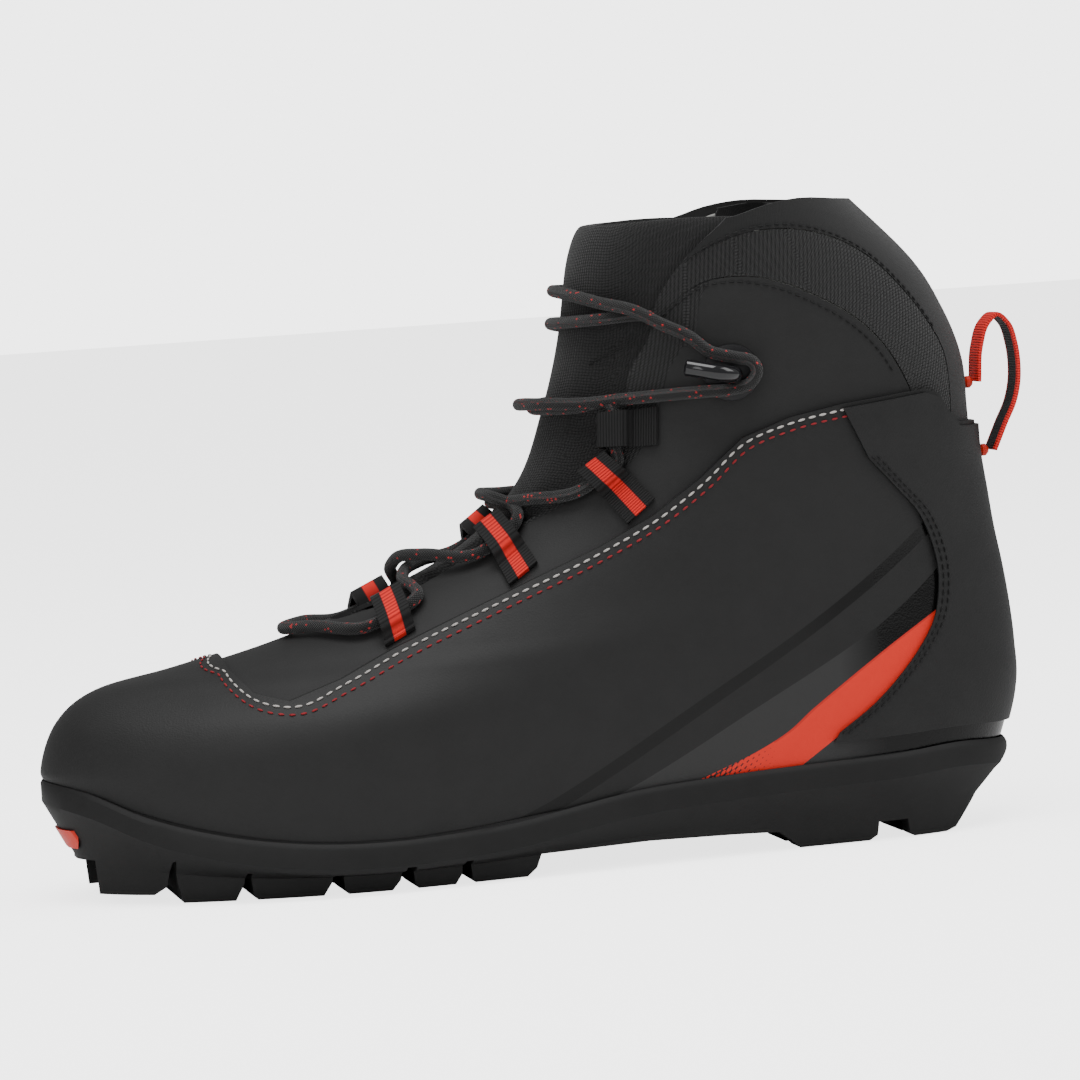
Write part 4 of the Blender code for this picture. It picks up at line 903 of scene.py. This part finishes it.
def tongueFace(row, share):
    edge = np.minimum(slotAngle(np.ravel(row)).reshape(row.shape) + tongueLook["overlap"], 97)
    slot = slotAngle(np.ravel(row)).reshape(row.shape) / edge
    rise = np.clip((np.abs(share) / slot - 0.45) / 0.45, 0, 1)
    rolled = 0.0038 * (1 - np.sqrt(1 - 0.98 * np.clip((row - 10.95) / 0.6, 0, 1) ** 2))
    return tongueInset - tongueLook["proud"] * (1 - rise * rise * (3 - 2 * rise)) + rolled


tongueRowsDense = np.r_[np.linspace(5.95, 11.05, 84),
                        11.05 + 0.5 * np.sin(np.linspace(0.1, math.pi / 2, 12))]
tongueShares = np.linspace(-1, 1, 71)
tongueRow, tongueShare = np.meshgrid(tongueRowsDense, tongueShares, indexing="ij")
tongueTurn = np.minimum(slotAngle(tongueRowsDense) + tongueLook["overlap"], 97)[:, None] * tongueShare
tongueBack = tongueInset + tongueWall - 0.0014 * np.clip((tongueRow - 11.2) / 0.5, 0, 1) ** 2
tongue = thickSheet("tongue", surface(tongueRow, tongueTurn, tongueFace(tongueRow, tongueShare)),
                    surface(tongueRow, tongueTurn, tongueBack), False)
finishPiece(tongue, tongueMaterial, "boot", ("tongue",), 50)
print("tongue done")

# lining, with room for the tongue
# lining pile, also used on the insole, carries painted shade, darker in the hollows between its threads
liningMaterial = fabricMaterial("liningPile", grey(0.008), grey(0.018), 0.8, 0.8, 0.0001, 0.95, 0.1)


def liningOutside(row, _):
    rise = np.clip((row - 7.6) / 1.8, 0, 1)
    return liningInset + (collarPad + gap) * rise * rise * (3 - 2 * rise)


lining = ringLayer("lining", liningOutside, lambda row, _: liningOutside(row, _) + liningWall,
                   0, 12, 140)
liningOutline = [(-175, -15), (-175, 120), (0, 190)] + [(x, z - 1) for x, z in collarTop[1:]]
cut(lining, sideCutter("liningRegion", liningOutline + [(150, 195), (150, -15)]), "INTERSECT")
roomRows = np.linspace(5.75, 12, 60)
roomRow, roomShare = np.meshgrid(roomRows, np.linspace(-1, 1, 25), indexing="ij")
roomTurn = (np.minimum(slotAngle(roomRows) + tongueLook["overlap"], 97) + 6.5)[:, None] * roomShare
room = thickSheet("tongueRoom", surface(roomRow, roomTurn, tongueInset - 0.003),
                  surface(roomRow, roomTurn, tongueInset + tongueWall + 0.012), False)
cut(lining, room)
finishPiece(lining, liningMaterial, "bend", ("toe_lining", "lining_flex", "boot_lining"))
print("lining done")

# sole: lugs from the side, two guide grooves, a toe pocket and a cup for the upper
soleLook = {"columns": 160, "rimOut": 0.0024, "grain": 1.4, "depth": 0.00006}
soleMaterial, soleTree, soleShader = startMaterial("soleRubber", (0.01, 0.01, 0.01), 0.6)
solePlace = attributeOf(soleTree, "rest")
soleNoise = node(soleTree, "ShaderNodeTexNoise",
                 {"Vector": solePlace, "Scale": soleLook["grain"], "Detail": 4.0})
soleCloud = node(soleTree, "ShaderNodeTexNoise", {"Vector": solePlace, "Scale": 0.06, "Detail": 3.0})
shaded(soleTree, soleShader, soleCloud.outputs[0], grey(0.006), grey(0.012))
setBump(soleTree, soleShader, soleNoise.outputs[0], soleLook["depth"], 0.6)
soleAngles = np.arange(soleLook["columns"]) * 360.0 / soleLook["columns"]


def baseHeight(x):
    return (feather(x) - lastingTuck * 1000) * grade[2]


def outlineRow(inset, heights):
    ring = surface(np.full(len(soleAngles), 0.1), soleAngles, inset)
    ring[:, 2] = heights(ring[:, 0] / grade[0])
    return ring


def solidRings(name, rings):
    points = np.stack(rings)
    count, columns = points.shape[:2]
    faces = gridFaces(count, columns, 0, True)
    faces.append(list(range(columns))[::-1])
    faces.append([(count - 1) * columns + c for c in range(columns)])
    return meshFrom(name, points.reshape(-1, 3), faces, 1e-6)


def block(name, low, high):
    bm = bmesh.new()
    bmesh.ops.create_cube(bm, size=1)
    mesh = bpy.data.meshes.new(name)
    bm.to_mesh(mesh)
    bm.free()
    low, high = Vector(low), Vector(high)
    size = high - low
    mesh.transform(Matrix.Translation((low + high) / 2) @ Matrix.Diagonal((*size, 1)))
    obj = bpy.data.objects.new(name, mesh)
    bpy.context.scene.collection.objects.link(obj)
    return obj


soleTurn = np.where(soleAngles <= 180, soleAngles, 360 - soleAngles)
tread = spline(treadInsetAngles, treadInsets, soleTurn)[:, 0] / 1000
rimInset = gap + soleLook["rimOut"]
sole = solidRings("outsole", [
    outlineRow(tread + 0.001, lambda x: np.full(len(x), -0.002)),
    outlineRow(tread, lambda x: 0.45 * baseHeight(x)),
    outlineRow(-rimInset * 0.6, lambda x: (feather(x) - 8.4) * grade[2]),
    outlineRow(-rimInset, lambda x: (feather(x) - 6.9) * grade[2]),
    outlineRow(-rimInset, lambda x: (feather(x) - 1.2) * grade[2]),
    outlineRow(-rimInset + 0.0005, lambda x: (feather(x) - 0.2) * grade[2]),
    outlineRow(-rimInset + 0.0012, lambda x: (feather(x) + 0.6) * grade[2])])
cut(sole, sideCutter("soleSide", soleProfile), "INTERSECT")
cupRows = [0, 0.3, 0.6, 1, 1.5, 2]
cupRings = [surface(np.full(len(soleAngles), float(r)), soleAngles, -gap) for r in cupRows]
cupRings[0][:, 2] -= boardWall + 3 * gap
cut(sole, solidRings("cup", cupRings))
barToe = patternPoint([0.1], [0])[0]
barPlace = Vector(((barToe[0] + 15.5) * grade[0], barToe[1] * grade[1], barHeight))
for side in (-1, 1):
    middle = side * guideSpacing / 2
    cut(sole, block("guide", (-0.116, middle - guideWidth / 2, -0.004),
                    (0.150, middle + guideWidth / 2, guideDepth)))
pocketRear = barPlace.x - barRadius - 0.0035 + pocketLength
cut(sole, block("pocket", (barPlace.x - 0.030, barPlace.y - pocketWidth / 2, -0.004),
                (pocketRear, barPlace.y + pocketWidth / 2, pocketDepth)))
insertLow = np.array([-149.4, -6, 16.5]) * grade
insertHigh = np.array([-144.2, 18, 22.4]) * grade
redSlice = copyOf(sole, "redSlice")
redSlice.scale = (1.006, 1.0, 1.0)
finishPiece(sole, soleMaterial, "bend", ("outsole_front", "outsole_flex", "outsole_rear"), 30)
print("sole done")

steelMaterial = startMaterial("brightSteel", (0.6, 0.6, 0.62), 0.22, 1.0)[0]
barHalf = barLength / 2 - 0.003
bar = sweep("bindingBar", [barPlace + Vector((0, t * barHalf, 0)) for t in np.linspace(-1, 1, 8)],
            barRadius, 32, False)
finishPiece(bar, steelMaterial, "forefoot", ("binding_bar",))
redMaterial = startMaterial("redPlastic", (0.62, 0.03, 0.015), 0.4)[0]
insert = block("toeInsert", insertLow, insertHigh)
cut(insert, redSlice, "INTERSECT")
finishPiece(insert, redMaterial, "forefoot", ("toe_insert",))

# insole seen down the shaft
insoleAngles = np.linspace(4, 176, 60)
insoleEdge = liningInset + liningWall + 0.0012
leftEdge = surface(np.zeros(60), insoleAngles, insoleEdge)
rightEdge = surface(np.zeros(60), 360 - insoleAngles, insoleEdge)
shares = np.linspace(0, 1, 25)[None, :, None]
floor = leftEdge[:, None, :] * (1 - shares) + rightEdge[:, None, :] * shares
height = baseHeight((floor[..., 0] / grade[0]).ravel()).reshape(floor.shape[:2])
topSide, underSide = floor.copy(), floor.copy()
topSide[..., 2] = height + insoleWall
underSide[..., 2] = height + gap
insole = thickSheet("insole", topSide, underSide, False)
finishPiece(insole, liningMaterial, "bend", ("insole",))

# webbing straps with an arch for the lace
webLook = {"columns": 22, "redFrom": 0.31, "redTo": 0.69, "rib": 0.72, "depth": 0.0002}
webMaterial, webTree, webShader = startMaterial("webbing", (0.02, 0.02, 0.02), 0.75)
webParts = node(webTree, "ShaderNodeSeparateXYZ", {0: attributeOf(webTree, "web")})
ribs = calc(webTree, "ABSOLUTE", calc(webTree, "SINE", calc(webTree, "MULTIPLY", webParts.outputs[1],
                                                            math.pi / webLook["rib"])))
pastRed = stepUp(webTree, webParts.outputs[0], webLook["redTo"], 0.03)
inRed = between(webTree, stepUp(webTree, webParts.outputs[0], webLook["redFrom"], 0.03),
                calc(webTree, "SUBTRACT", 1.0, pastRed), webParts.outputs[2])
# painted shade: both the black and the red webbing are darker in the grooves between ribs
black = mixColour(webTree, ribs, grey(0.003), grey(0.012))
redWeb = mixColour(webTree, ribs, (0.3, 0.006, 0.005, 1), (0.7, 0.022, 0.016, 1))
webTree.links.new(mixColour(webTree, inRed, black, redWeb), webShader.inputs["Base Color"])
setBump(webTree, webShader, ribs, webLook["depth"])
archRows = [(0, 0, 0, 0), (0.2, 0.5, 1.0, 0), (0.4, 0.9, 1.2, 0.8), (1.0, 1, 1.5, 1), (2.0, 1, 2.0, 1),
            (4.0, 1, 4.0, 1), (5.8, 1, 5.8, 1), (6.8, 0.97, 6.8, 0.97), (7.3, 0.85, 7.0, 0.6),
            (7.8, 0.6, 7.1, 0), (8.1, 0.2, 7.4, 0), (8.5, 0, 7.8, 0)]
archMiddle = 4.0
archHeight = laceDiameter + 4 * gap
strapLow = panelInset - 0.0005
strapHigh = strapLow - webbingWall
straight = [(-0.3, 3.6), (0, archMiddle), (0.5, archMiddle), (1, 4.3), (1.3, 3.8)]
turning = [(-0.3, 3.6), (0, archMiddle), (0.5, archMiddle), (0.9, archMiddle), (1.25, 2.8), (1.35, -0.5)]
keeperStops = [(0, archMiddle), (0.5, archMiddle), (0.9, archMiddle), (1.25, 2.6), (1.35, -0.5)]


def makeStrap(name, corners, side, centreRed):
    rows = list(archRows)
    length = strapLength(corners)
    for down in np.linspace(9.6, length, 6):
        rows.append((down, 0, down, 0))
    columns = webLook["columns"]
    marks = np.zeros((len(rows), columns, 3))
    table = np.array(rows)
    u = np.linspace(0, 1, columns)[None, :]
    corner = np.array(corners, float)

    def side3d(down, lift, inset):
        down = np.minimum(down, length)[:, None]
        top = corner[0] * (1 - u[..., None]) + corner[1] * u[..., None]
        bottom = corner[3] * (1 - u[..., None]) + corner[2] * u[..., None]
        way = bottom - top
        place = top + way * down[..., None] / np.linalg.norm(way, axis=-1, keepdims=True)
        row, turn = whereAll(place[..., 0], place[..., 1])
        turn = turn if side < 0 else 360.0 - turn
        return surface(row, turn, inset - lift[:, None] * archHeight)

    face = side3d(table[:, 0], table[:, 1], strapHigh)
    back = side3d(table[:, 2], table[:, 3], strapLow)
    marks[..., 0] = u
    marks[..., 1] = table[:, 0][:, None]
    marks[..., 2] = centreRed
    obj = thickSheet(name, face, back, False)
    points = np.array([v.co for v in obj.data.vertices])
    tree = KDTree(face.size // 3 * 2)
    for k, p in enumerate(np.concatenate([face.reshape(-1, 3), back.reshape(-1, 3)])):
        tree.insert(p, k % (len(rows) * columns))
    tree.balance()
    flat = marks.reshape(-1, 3)
    keepAttribute(obj, "web", [flat[tree.find(p)[1]] for p in points])
    return obj


for side, word in ((-1, "outer"), (1, "inner")):
    for number, corners in loopCorners.items():
        strapObject = makeStrap("laceLoop" + number + word.title(), corners, side, 1.0)
        finishPiece(strapObject, webMaterial, "boot", ("lace_loop_" + number + "_" + word,))
    strapObject = makeStrap("ankleKeeper" + word.title(), keeperCorners, side, 0.0)
    finishPiece(strapObject, webMaterial, "boot", ("ankle_keeper_" + word,))
print("straps done")

# hooks: a rubber pad, a rivet and a bent glossy barrel
hookLook = {"padWall": 0.0012, "rivetWall": 0.0010, "sides": 24}
hookStem = (55.0, 146.8)
hookTip = (41.5, 150.0)
glossMaterial = startMaterial("glossPlastic", (0.006, 0.006, 0.007), 0.12, 0.0, 0.6)[0]
padMaterial = startMaterial("hookPad", (0.012, 0.012, 0.013), 0.42)[0]


def disc(name, centre, out, radius, thick, edge, sides=48):
    # a flat disc with an eased rim
    out = Vector(out).normalized()
    turn = Vector((0, 0, 1)).rotation_difference(out).to_matrix()
    rings = []
    for r, h in ((radius, -thick / 2), (radius, thick / 2 - edge),
                 (radius - edge * 0.3, thick / 2 - edge * 0.3),
                 (radius - edge, thick / 2)):
        rings.append([Vector(centre) + turn @ Vector((r * math.cos(q), r * math.sin(q), h))
                      for q in np.linspace(0, 2 * math.pi, sides, endpoint=False)])
    return solidRings(name, [np.array(ring) for ring in rings])


for side, word in ((-1, "outer"), (1, "inner")):
    foot, out, forward, across = hookFrame(side)
    lift = hookLook["padWall"] / 2 + gap
    pad = disc("hookPad" + word.title(), foot + out * lift, out, hookPadRadius, hookLook["padWall"], 0.0005)
    finishPiece(pad, padMaterial, "boot", ("hook_pad_" + word,))
    seat = lift + hookLook["padWall"] / 2 + gap
    rivetPlace = foot + out * (seat + hookLook["rivetWall"] / 2) + forward * 0.0056
    rivet = disc("hookRivet" + word.title(), rivetPlace, out, rivetRadius * 0.6,
                 hookLook["rivetWall"], 0.0004, 32)
    finishPiece(rivet, steelMaterial, "boot", ("hook_rivet_" + word,))
    height = hookLook["padWall"] + laceDiameter + 6 * gap + hookRadius
    root = foot + out * seat
    route = [root, root + out * (height - 0.0028), root + out * height + forward * 0.0028,
             root + out * height + forward * hookLength]
    barrel = sweep("hook" + word.title(), smoothLine(route, 40), hookRadius, hookLook["sides"])
    finishPiece(barrel, glossMaterial, "boot", ("hook_" + word,))
print("hooks done")

# pull loop at the heel: black tape with red edges and a red back
pullLook = {"rows": 90, "columns": 22}
pullRoute = [(140.6, 137), (141.8, 148), (144.6, 155.2), (147.6, 157.6), (150.8, 154.8),
             (152.8, 148.4), (153.4, 142), (153, 136), (151.4, 130), (148.4, 124), (144.4, 115.5)]
pullMaterial, pullTree, pullShader = startMaterial("pullWebbing", (0.6, 0.03, 0.02), 0.7)
pullParts = node(pullTree, "ShaderNodeSeparateXYZ", {0: attributeOf(pullTree, "web")})
pullWave = calc(pullTree, "SINE", calc(pullTree, "MULTIPLY", pullParts.outputs[1], math.pi / 0.8))
pullRibs = calc(pullTree, "ABSOLUTE", pullWave)
edgeWay = calc(pullTree, "ABSOLUTE", calc(pullTree, "SUBTRACT", pullParts.outputs[0], 0.5))
blackPart = between(pullTree, calc(pullTree, "LESS_THAN", edgeWay, 0.36), pullParts.outputs[2])
# painted shade: the tape's red and black are darker in the grooves between its ribs
pullRed = mixColour(pullTree, pullRibs, (0.35, 0.008, 0.006, 1), (0.7, 0.022, 0.016, 1))
pullBlack = mixColour(pullTree, pullRibs, grey(0.003), grey(0.012))
pullTree.links.new(mixColour(pullTree, blackPart, pullRed, pullBlack), pullShader.inputs["Base Color"])
setBump(pullTree, pullShader, pullRibs, 0.0002)
line = smoothLine([(x, 0, z) for x, z in pullRoute], pullLook["rows"]) * grade
tangent = np.gradient(line, axis=0)
tangent /= np.linalg.norm(tangent, axis=1, keepdims=True)
normal = np.cross(tangent, [0, 1, 0])
wide = np.linspace(-1, 1, pullLook["columns"])
sheets = []
for shiftOut in (-pullWall / 2, pullWall / 2):
    rows = line + normal * shiftOut
    bow = 1 - 0.25 * wide ** 8
    sheets.append(np.stack([rows + np.array([0, w * pullWidth / 2, 0]) - normal * shiftOut * (1 - b)
                            for w, b in zip(wide, bow)], axis=1))
pull = thickSheet("pullLoop", sheets[0], sheets[1], False)
run = np.r_[0, np.cumsum(np.linalg.norm(np.diff(line, axis=0), axis=1))] * 1000
tree = KDTree(sheets[0].size // 3 * 2)
pullMarks = []
for s, isOuter in ((0, 1.0), (1, 0.0)):
    for r in range(pullLook["rows"]):
        for c in range(pullLook["columns"]):
            tree.insert(sheets[s][r, c], len(pullMarks))
            pullMarks.append(((wide[c] + 1) / 2, run[r], isOuter))
tree.balance()
keepAttribute(pull, "web", [pullMarks[tree.find(v.co)[1]] for v in pull.data.vertices])
finishPiece(pull, pullMaterial, "pull_loop", ("pull_loop",))
for word, end, back in (("upper", line[0], backSurface(pullRoute[0][1], panelInset)),
                        ("lower", line[-1], backSurface(pullRoute[-1][1], -(gap + overlayWall)))):
    tip, foot = end[0] - pullWall / 2 - gap, back + gap
    anchorRoute = [(foot + (tip - foot) * t, 0, end[2]) for t in (0, 0.3, 0.7, 1)]
    anchor = sweep("pullAnchor" + word.title(), anchorRoute, 0.0019, 16)
    finishPiece(anchor, redMaterial, "boot", ("pull_anchor_" + word,))
print("pull loop done")

# lace
laceLook = {"points": 700, "sides": 14, "pitch": 0.85, "flecks": 0.965}
laceMaterial, laceTree, laceShader = startMaterial("laceBraid", (0.03, 0.028, 0.03), 0.8)
threads = useGroup(laceTree, braid, {"Cloth": attributeOf(laceTree, "cloth"), "Pitch": laceLook["pitch"]})
chance = node(laceTree, "ShaderNodeTexWhiteNoise", {"W": threads.outputs["Cell"]}, noise_dimensions="1D")
fleck = calc(laceTree, "GREATER_THAN", chance.outputs[0], laceLook["flecks"])
# painted shade: the braid is darker in the hollows between its threads; the red flecks are the lace's own
# colour
laceDark = mixColour(laceTree, threads.outputs["Height"], grey(0.004), grey(0.02))
laceColour = mixColour(laceTree, fleck, laceDark, (0.45, 0.02, 0.02, 1))
laceTree.links.new(laceColour, laceShader.inputs["Base Color"])
laceShader.inputs["Sheen Weight"].default_value = 0.15
setBump(laceTree, laceShader, threads.outputs["Height"], 0.00028)
laceRoutePoints = laceRoute()
laceHeights = laceRoutePoints[:, 2] / 1000
laceHeights = np.where(laceHeights > 0, laceHeights * laceDiameter / 0.0038, laceHeights)
lacePlaces = surface(laceRoutePoints[:, 0], laceRoutePoints[:, 1], panelInset - laceHeights)
lacePath = smoothLine(lacePlaces, laceLook["points"])
lace = sweep("lace", lacePath, laceDiameter / 2, laceLook["sides"])
finishPiece(lace, laceMaterial, "boot", ("lace",), 0)
for word, end, before in (("outer", lacePath[0], lacePath[5]), ("inner", lacePath[-1], lacePath[-6])):
    along = (end - before) / np.linalg.norm(end - before)
    aglet = sweep("aglet" + word.title(), [end + along * (gap + t * 0.014) for t in np.linspace(0, 1, 8)],
                  0.0017, 20)
    finishPiece(aglet, glossMaterial, "boot", ("aglet_" + word,))
lacePath = lacePath - np.array(middleOffset)


# stitches: capsules set along a line by Geometry Nodes
def stitchNodes():
    tree = bpy.data.node_groups.new("stitchRun", "GeometryNodeTree")
    face = tree.interface
    face.new_socket(name="Line", in_out="INPUT", socket_type="NodeSocketGeometry")
    for label, value in (("Pitch", 0.003), ("Length", 0.0022), ("Radius", 0.00035)):
        face.new_socket(name=label, in_out="INPUT", socket_type="NodeSocketFloat").default_value = value
    face.new_socket(name="Thread", in_out="INPUT", socket_type="NodeSocketMaterial")
    face.new_socket(name="Stitches", in_out="OUTPUT", socket_type="NodeSocketGeometry")
    source = tree.nodes.new("NodeGroupInput")
    sink = tree.nodes.new("NodeGroupOutput")
    spaced = node(tree, "GeometryNodeCurveToPoints", {"Curve": source.outputs["Line"],
                                                      "Length": source.outputs["Pitch"]}, mode="LENGTH")
    ball = node(tree, "GeometryNodeMeshUVSphere", {"Segments": 6, "Rings": 5, "Radius": 1.0})
    size = node(tree, "ShaderNodeCombineXYZ", {0: source.outputs["Radius"], 1: source.outputs["Radius"],
                                               2: calc(tree, "MULTIPLY", source.outputs["Length"], 0.5)})
    shaped = node(tree, "GeometryNodeTransform", {"Geometry": ball.outputs[0], "Scale": size.outputs[0]})
    turned = node(tree, "FunctionNodeAlignRotationToVector", {"Vector": spaced.outputs["Tangent"]},
                  axis="Z")
    placed = node(tree, "GeometryNodeInstanceOnPoints", {"Points": spaced.outputs["Points"],
                                                         "Instance": shaped.outputs[0],
                                                         "Rotation": turned.outputs[0]})
    real = node(tree, "GeometryNodeRealizeInstances", {0: placed.outputs[0]})
    painted = node(tree, "GeometryNodeSetMaterial", {"Geometry": real.outputs[0],
                                                     "Material": source.outputs["Thread"]})
    tree.links.new(painted.outputs[0], sink.inputs[0])
    return tree


stitchTree = stitchNodes()


def sideLine(points, side, inset):
    # world points on the surface under a polyline seen from the side
    points = np.asarray(points, float)
    row, turn = whereAll(points[:, 0], points[:, 1])
    return surface(row, turn if side < 0 else 360.0 - turn, inset)


def stitchRun(name, paths, look, material, body):
    # several open lines sewn with the same stitch, as one mesh
    curve = bpy.data.curves.new(name, "CURVE")
    curve.dimensions = "3D"
    for path in paths:
        spot = curve.splines.new("POLY")
        spot.points.add(len(path) - 1)
        for point, place in zip(spot.points, path):
            point.co = (*place, 1)
    obj = bpy.data.objects.new(name, curve)
    bpy.context.scene.collection.objects.link(obj)
    modifier = obj.modifiers.new("stitches", "NODES")
    modifier.node_group = stitchTree
    for item in stitchTree.interface.items_tree:
        if item.in_out == "INPUT" and item.name in look:
            modifier[item.identifier] = look[item.name]
        if item.in_out == "INPUT" and item.name == "Thread":
            modifier[item.identifier] = material
    bpy.context.view_layer.update()
    mesh = bpy.data.meshes.new_from_object(obj.evaluated_get(bpy.context.evaluated_depsgraph_get()))
    drop(obj)
    new = bpy.data.objects.new(name, mesh)
    bpy.context.scene.collection.objects.link(new)
    return finishPiece(new, material, body, (), 0)


greyThread = startMaterial("greyThread", (0.42, 0.40, 0.38), 0.6)[0]
redThread = startMaterial("redThread", (0.25, 0.015, 0.02), 0.6)[0]
blackThread = startMaterial("blackThread", (0.006, 0.006, 0.006), 0.5)[0]
sewing = {"throat": {"Pitch": 0.0034, "Length": 0.0024, "Radius": 0.00038},
          "second": {"Pitch": 0.0034, "Length": 0.0020, "Radius": 0.00034},
          "seam": {"Pitch": 0.0026, "Length": 0.0019, "Radius": 0.0003}}


def offsetLine(points, distance):
    # a polyline moved to its right by a distance in mm
    points = np.asarray(rounded(points, 5), float)
    along = np.gradient(points, axis=0)
    along /= np.linalg.norm(along, axis=1, keepdims=True) + 1e-9
    return points + np.stack([along[:, 1], -along[:, 0]], axis=1) * distance


def throatPath(distance):
    # from the outer rear end round the front of the throat to the inner rear end
    line = offsetLine(throatEdge, distance)
    line = [(x, z) for x, z in line if x < 90]
    crest = min(p[0] for p in line)
    low = [p for p in line if not (p[0] < crest + 1.2 and p[1] > 68)]
    outer = sideLine(low[::-1], -1, -0.00022)
    inner = sideLine(low, 1, -0.00022)
    frontRow = np.interp(low[0][0], [p[0] for p in frontLine[2:6]], [2, 3, 4, 5])
    first, last = where(*low[0], -1), where(*low[0], 1)
    turns = np.linspace(first[1], -(360 - last[1]), 24)
    rows = frontRow + (first[0] - frontRow) * np.abs(np.linspace(1, -1, 24)) ** 1.5
    arc = surface(rows, turns, -0.00022)
    return smoothLine(np.concatenate([outer, arc[1:-1], inner]), 400)


stitchRun("throatStitch", [throatPath(1.7)], sewing["throat"], greyThread, "bend")
stitchRun("throatStitchRed", [throatPath(3.8)], sewing["second"], redThread, "bend")
seams = []
for side in (-1, 1):
    for distance in (1.2, 3.0):
        moved = [(x + distance, z) for x, z in rounded(overlayFront[1:-1], 5)]
        seams.append(smoothLine(sideLine(moved, side, -(gap + overlay["thick"] + 0.0002)), 160))
stitchRun("overlayStitch", seams, sewing["seam"], blackThread, "boot")
seams = []
for side in (-1, 1):
    topLine = [(x - 1.2, z - 1.6) for x, z in rounded(panelTop, 4) if x < 108]
    seams.append(smoothLine(sideLine(topLine, side, panelInset - 0.0002), 160))
    rimLine = [(x + 1.4, z + 1.4) for x, z in rounded(meshTop, 4) if 40 < x < 122]
    seams.append(smoothLine(sideLine(rimLine, side, panelInset - 0.0002), 160))
stitchRun("collarStitch", seams, sewing["seam"], blackThread, "boot")
print("stitches done")

# floor, light and camera
floorMesh = bpy.data.meshes.new("floor")
floorMesh.from_pydata([(-6, -6, 0), (6, -6, 0), (6, 6, 0), (-6, 6, 0)], [], [(0, 1, 2, 3)])
floorObject = bpy.data.objects.new("floor", floorMesh)
bpy.context.scene.collection.objects.link(floorObject)
floorObject.location.z = -0.0002
floorMaterial, floorTree, floorShader = startMaterial("paleFloor", (0.95, 0.95, 0.95), 0.9, specular=0.1)
floorShader.inputs["Emission Color"].default_value = (1, 1, 1, 1)
seen = floorTree.nodes.new("ShaderNodeLightPath").outputs["Is Camera Ray"]
floorTree.links.new(calc(floorTree, "MULTIPLY", seen, 2.6), floorShader.inputs["Emission Strength"])
floorMesh.materials.append(floorMaterial)
world = bpy.data.worlds.new("studio")
bpy.context.scene.world = world
world.use_nodes = True
world.node_tree.nodes["Background"].inputs[0].default_value = (1, 1, 1, 1)
direct = world.node_tree.nodes.new("ShaderNodeLightPath").outputs["Is Camera Ray"]
brightness = node(world.node_tree, "ShaderNodeMapRange", {0: direct, 3: 0.42, 4: 4.0})
world.node_tree.links.new(brightness.outputs[0], world.node_tree.nodes["Background"].inputs[1])


def softLight(name, place, target, size, power):
    light = bpy.data.lights.new(name, "AREA")
    light.shape = "RECTANGLE"
    light.size, light.size_y = size
    light.energy = power
    obj = bpy.data.objects.new(name, light)
    bpy.context.scene.collection.objects.link(obj)
    obj.location = place
    obj.rotation_euler = (Vector(target) - Vector(place)).to_track_quat("-Z", "Y").to_euler()


softLight("overhead", (-0.15, -0.35, 1.5), (0, 0, 0.1), (1.2, 0.9), 22)
softLight("front", (-0.9, -1.3, 0.9), (0, 0, 0.1), (1.0, 1.0), 9)
softLight("rear", (1.1, -0.4, 1.0), (0.05, 0, 0.12), (0.7, 0.9), 7)

cameraLook = {"azimuth": -12.0, "elevation": 4.0, "distance": 1.6, "width": 0.3315, "roll": 3.7,
              "across": 0.0011, "height": 0.0983}
azimuth, elevation = math.radians(cameraLook["azimuth"]), math.radians(cameraLook["elevation"])
back = Vector((math.sin(azimuth) * math.cos(elevation), -math.cos(azimuth) * math.cos(elevation),
               math.sin(elevation)))
right = Vector((math.cos(azimuth), math.sin(azimuth), 0))
up = back.cross(right)
aim = right * cameraLook["across"] + Vector((0, 0, cameraLook["height"]))
roll = math.radians(cameraLook["roll"])
rolledRight = right * math.cos(roll) - up * math.sin(roll)
rolledUp = up * math.cos(roll) + right * math.sin(roll)
cameraData = bpy.data.cameras.new("camera")
cameraData.sensor_width = 36
cameraData.lens = 36 * cameraLook["distance"] / cameraLook["width"]
cameraObject = bpy.data.objects.new("camera", cameraData)
bpy.context.scene.collection.objects.link(cameraObject)
turnMatrix = Matrix((rolledRight, rolledUp, back)).transposed().to_4x4()
cameraObject.matrix_world = Matrix.Translation(aim + back * cameraLook["distance"]) @ turnMatrix
bpy.context.scene.camera = cameraObject
print("stage done")
